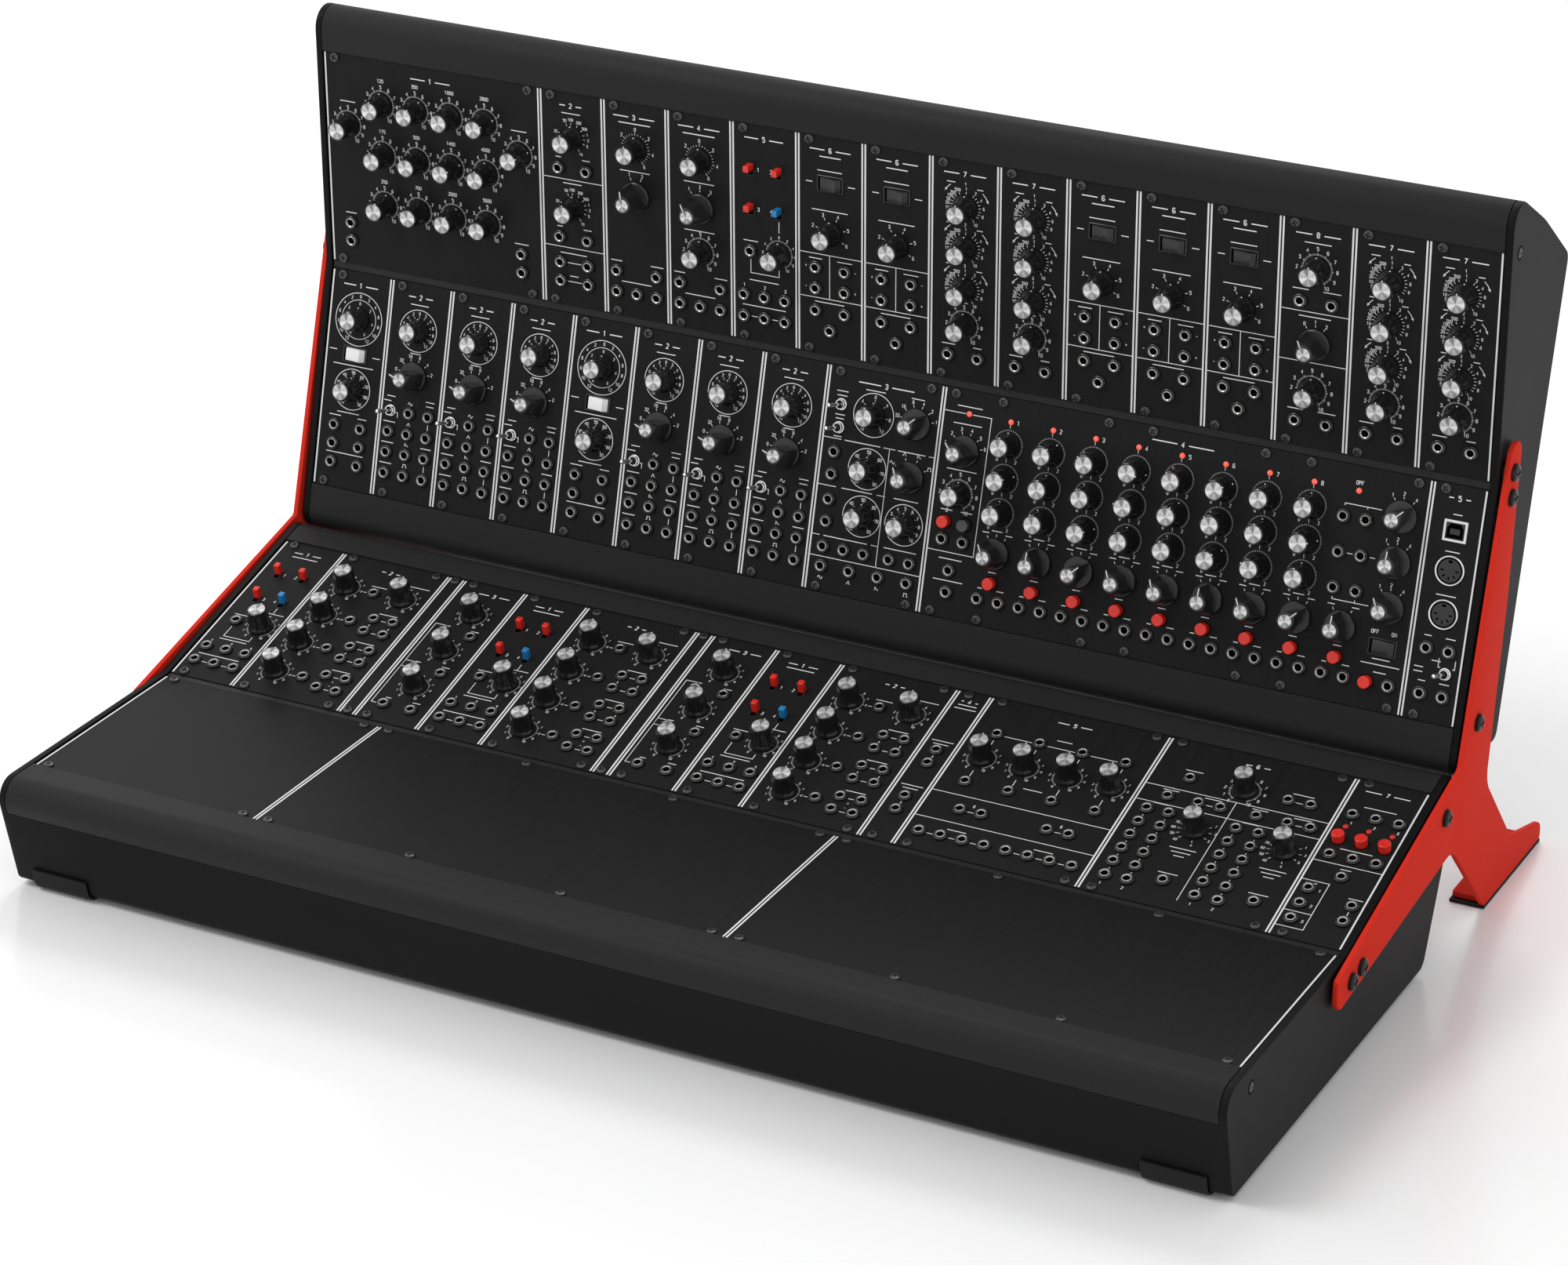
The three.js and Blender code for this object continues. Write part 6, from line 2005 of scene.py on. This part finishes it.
def place_camera(scene):
    """The camera, where the photograph's stood."""
    camera = bpy.data.objects.new("camera", bpy.data.cameras.new("camera"))
    camera.data.lens, camera.data.sensor_width = CAMERA_LENS, SENSOR_WIDTH
    camera.data.clip_end = FAR_CLIP
    camera.matrix_world = Matrix.Translation(CAMERA_PLACE) @ Matrix(CAMERA_AXES).to_4x4()
    scene.collection.objects.link(camera)
    scene.camera = camera


def hang_lamps(scene):
    """Three round area lamps that look at the synthesizer."""
    for name, (place, width, power) in LIGHTS.items():
        light = bpy.data.lights.new(name, "AREA")
        light.shape, light.size, light.energy = "DISK", width, power
        lamp = bpy.data.objects.new(name, light)
        lamp.location = place
        lamp.rotation_euler = (Vector(AIM) - Vector(place)).to_track_quat("-Z", "Y").to_euler()
        scene.collection.objects.link(lamp)


def light_world(scene):
    """A plain world: white where it is seen or mirrored, weaker where it lights."""
    scene.world = bpy.data.worlds.new("studio")
    scene.world.use_nodes = True
    sky = Nodes(scene.world.node_tree)
    seen = sky.add("ShaderNodeLightPath", output="Is Camera Ray")
    seen = seen + seen.output("Is Glossy Ray") + seen.output("Is Transmission Ray")
    level = sky.add("ShaderNodeMapRange", {}, {"Value": seen, "To Min": STUDIO_LIGHT, "To Max": 1.0})
    sky.fill(sky.tree.nodes["Background"], {"Color": (1, 1, 1, 1), "Strength": level})


def lay_floor(scene):
    """A pale floor with a soft sheen."""
    mesh = bpy.data.meshes.new("floor")
    mesh.from_pydata(at_height(rectangle(2 * FLOOR_REACH, 2 * FLOOR_REACH), 0).tolist(), [], [(0, 1, 2, 3)])
    floor = bpy.data.objects.new("floor", mesh)
    scene.collection.objects.link(floor)
    ground = Finish("finish_floor")
    dust = ground.noise(3, 2.0)
    mesh.materials.append(ground.surface({
        "Base Color": ground.between((0.90, 0.90, 0.90), (0.93, 0.93, 0.93), dust),
        "Roughness": dust * 0.06 + 0.16,
        "Specular IOR Level": 0.5,
    }))
    floor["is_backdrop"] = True


class SYNTH_OT_stage(bpy.types.Operator):
    """The camera, the lights and the pale floor"""

    bl_idname = "synthesizer.stage"
    bl_label = "Stage"

    def execute(self, context):
        scene = context.scene
        place_camera(scene)
        hang_lamps(scene)
        light_world(scene)
        lay_floor(scene)
        scene.view_settings.view_transform = "Standard"
        return {"FINISHED"}


class SYNTH_PT_sidebar(bpy.types.Panel):
    """Lists the parts of the synthesizer"""

    bl_label = "Synthesizer"
    bl_space_type = "VIEW_3D"
    bl_region_type = "UI"
    bl_category = "Synthesizer"

    def draw(self, context):
        for operator in OPERATORS:
            self.layout.operator(operator.bl_idname)
        for group in (context.scene.synthesizer_sizes, context.scene.synthesizer_colours):
            for name in group.__annotations__:
                self.layout.prop(group, name)


OPERATORS = (SYNTH_OT_stage, SYNTH_OT_cases, SYNTH_OT_stand, SYNTH_OT_panels, SYNTH_OT_printing, SYNTH_OT_jacks,
             SYNTH_OT_knobs, SYNTH_OT_switches, SYNTH_OT_ports, SYNTH_OT_screws)
CLASSES = (SynthesizerSizes, SynthesizerColours, *OPERATORS, SYNTH_PT_sidebar)


def register():
    for one in CLASSES:
        bpy.utils.register_class(one)
    bpy.types.Scene.synthesizer_sizes = bpy.props.PointerProperty(type=SynthesizerSizes)
    bpy.types.Scene.synthesizer_colours = bpy.props.PointerProperty(type=SynthesizerColours)


def unregister():
    del bpy.types.Scene.synthesizer_colours
    del bpy.types.Scene.synthesizer_sizes
    for one in reversed(CLASSES):
        bpy.utils.unregister_class(one)


def main():
    register()
    for operator in OPERATORS:
        group, name = operator.bl_idname.split(".")
        getattr(getattr(bpy.ops, group), name)()
    boxes = {"cad": cad_box, "visual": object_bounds()}
    {key: [list(corner) for corner in box] for key, box in boxes.items()}


if __name__ == "__main__":
    main()
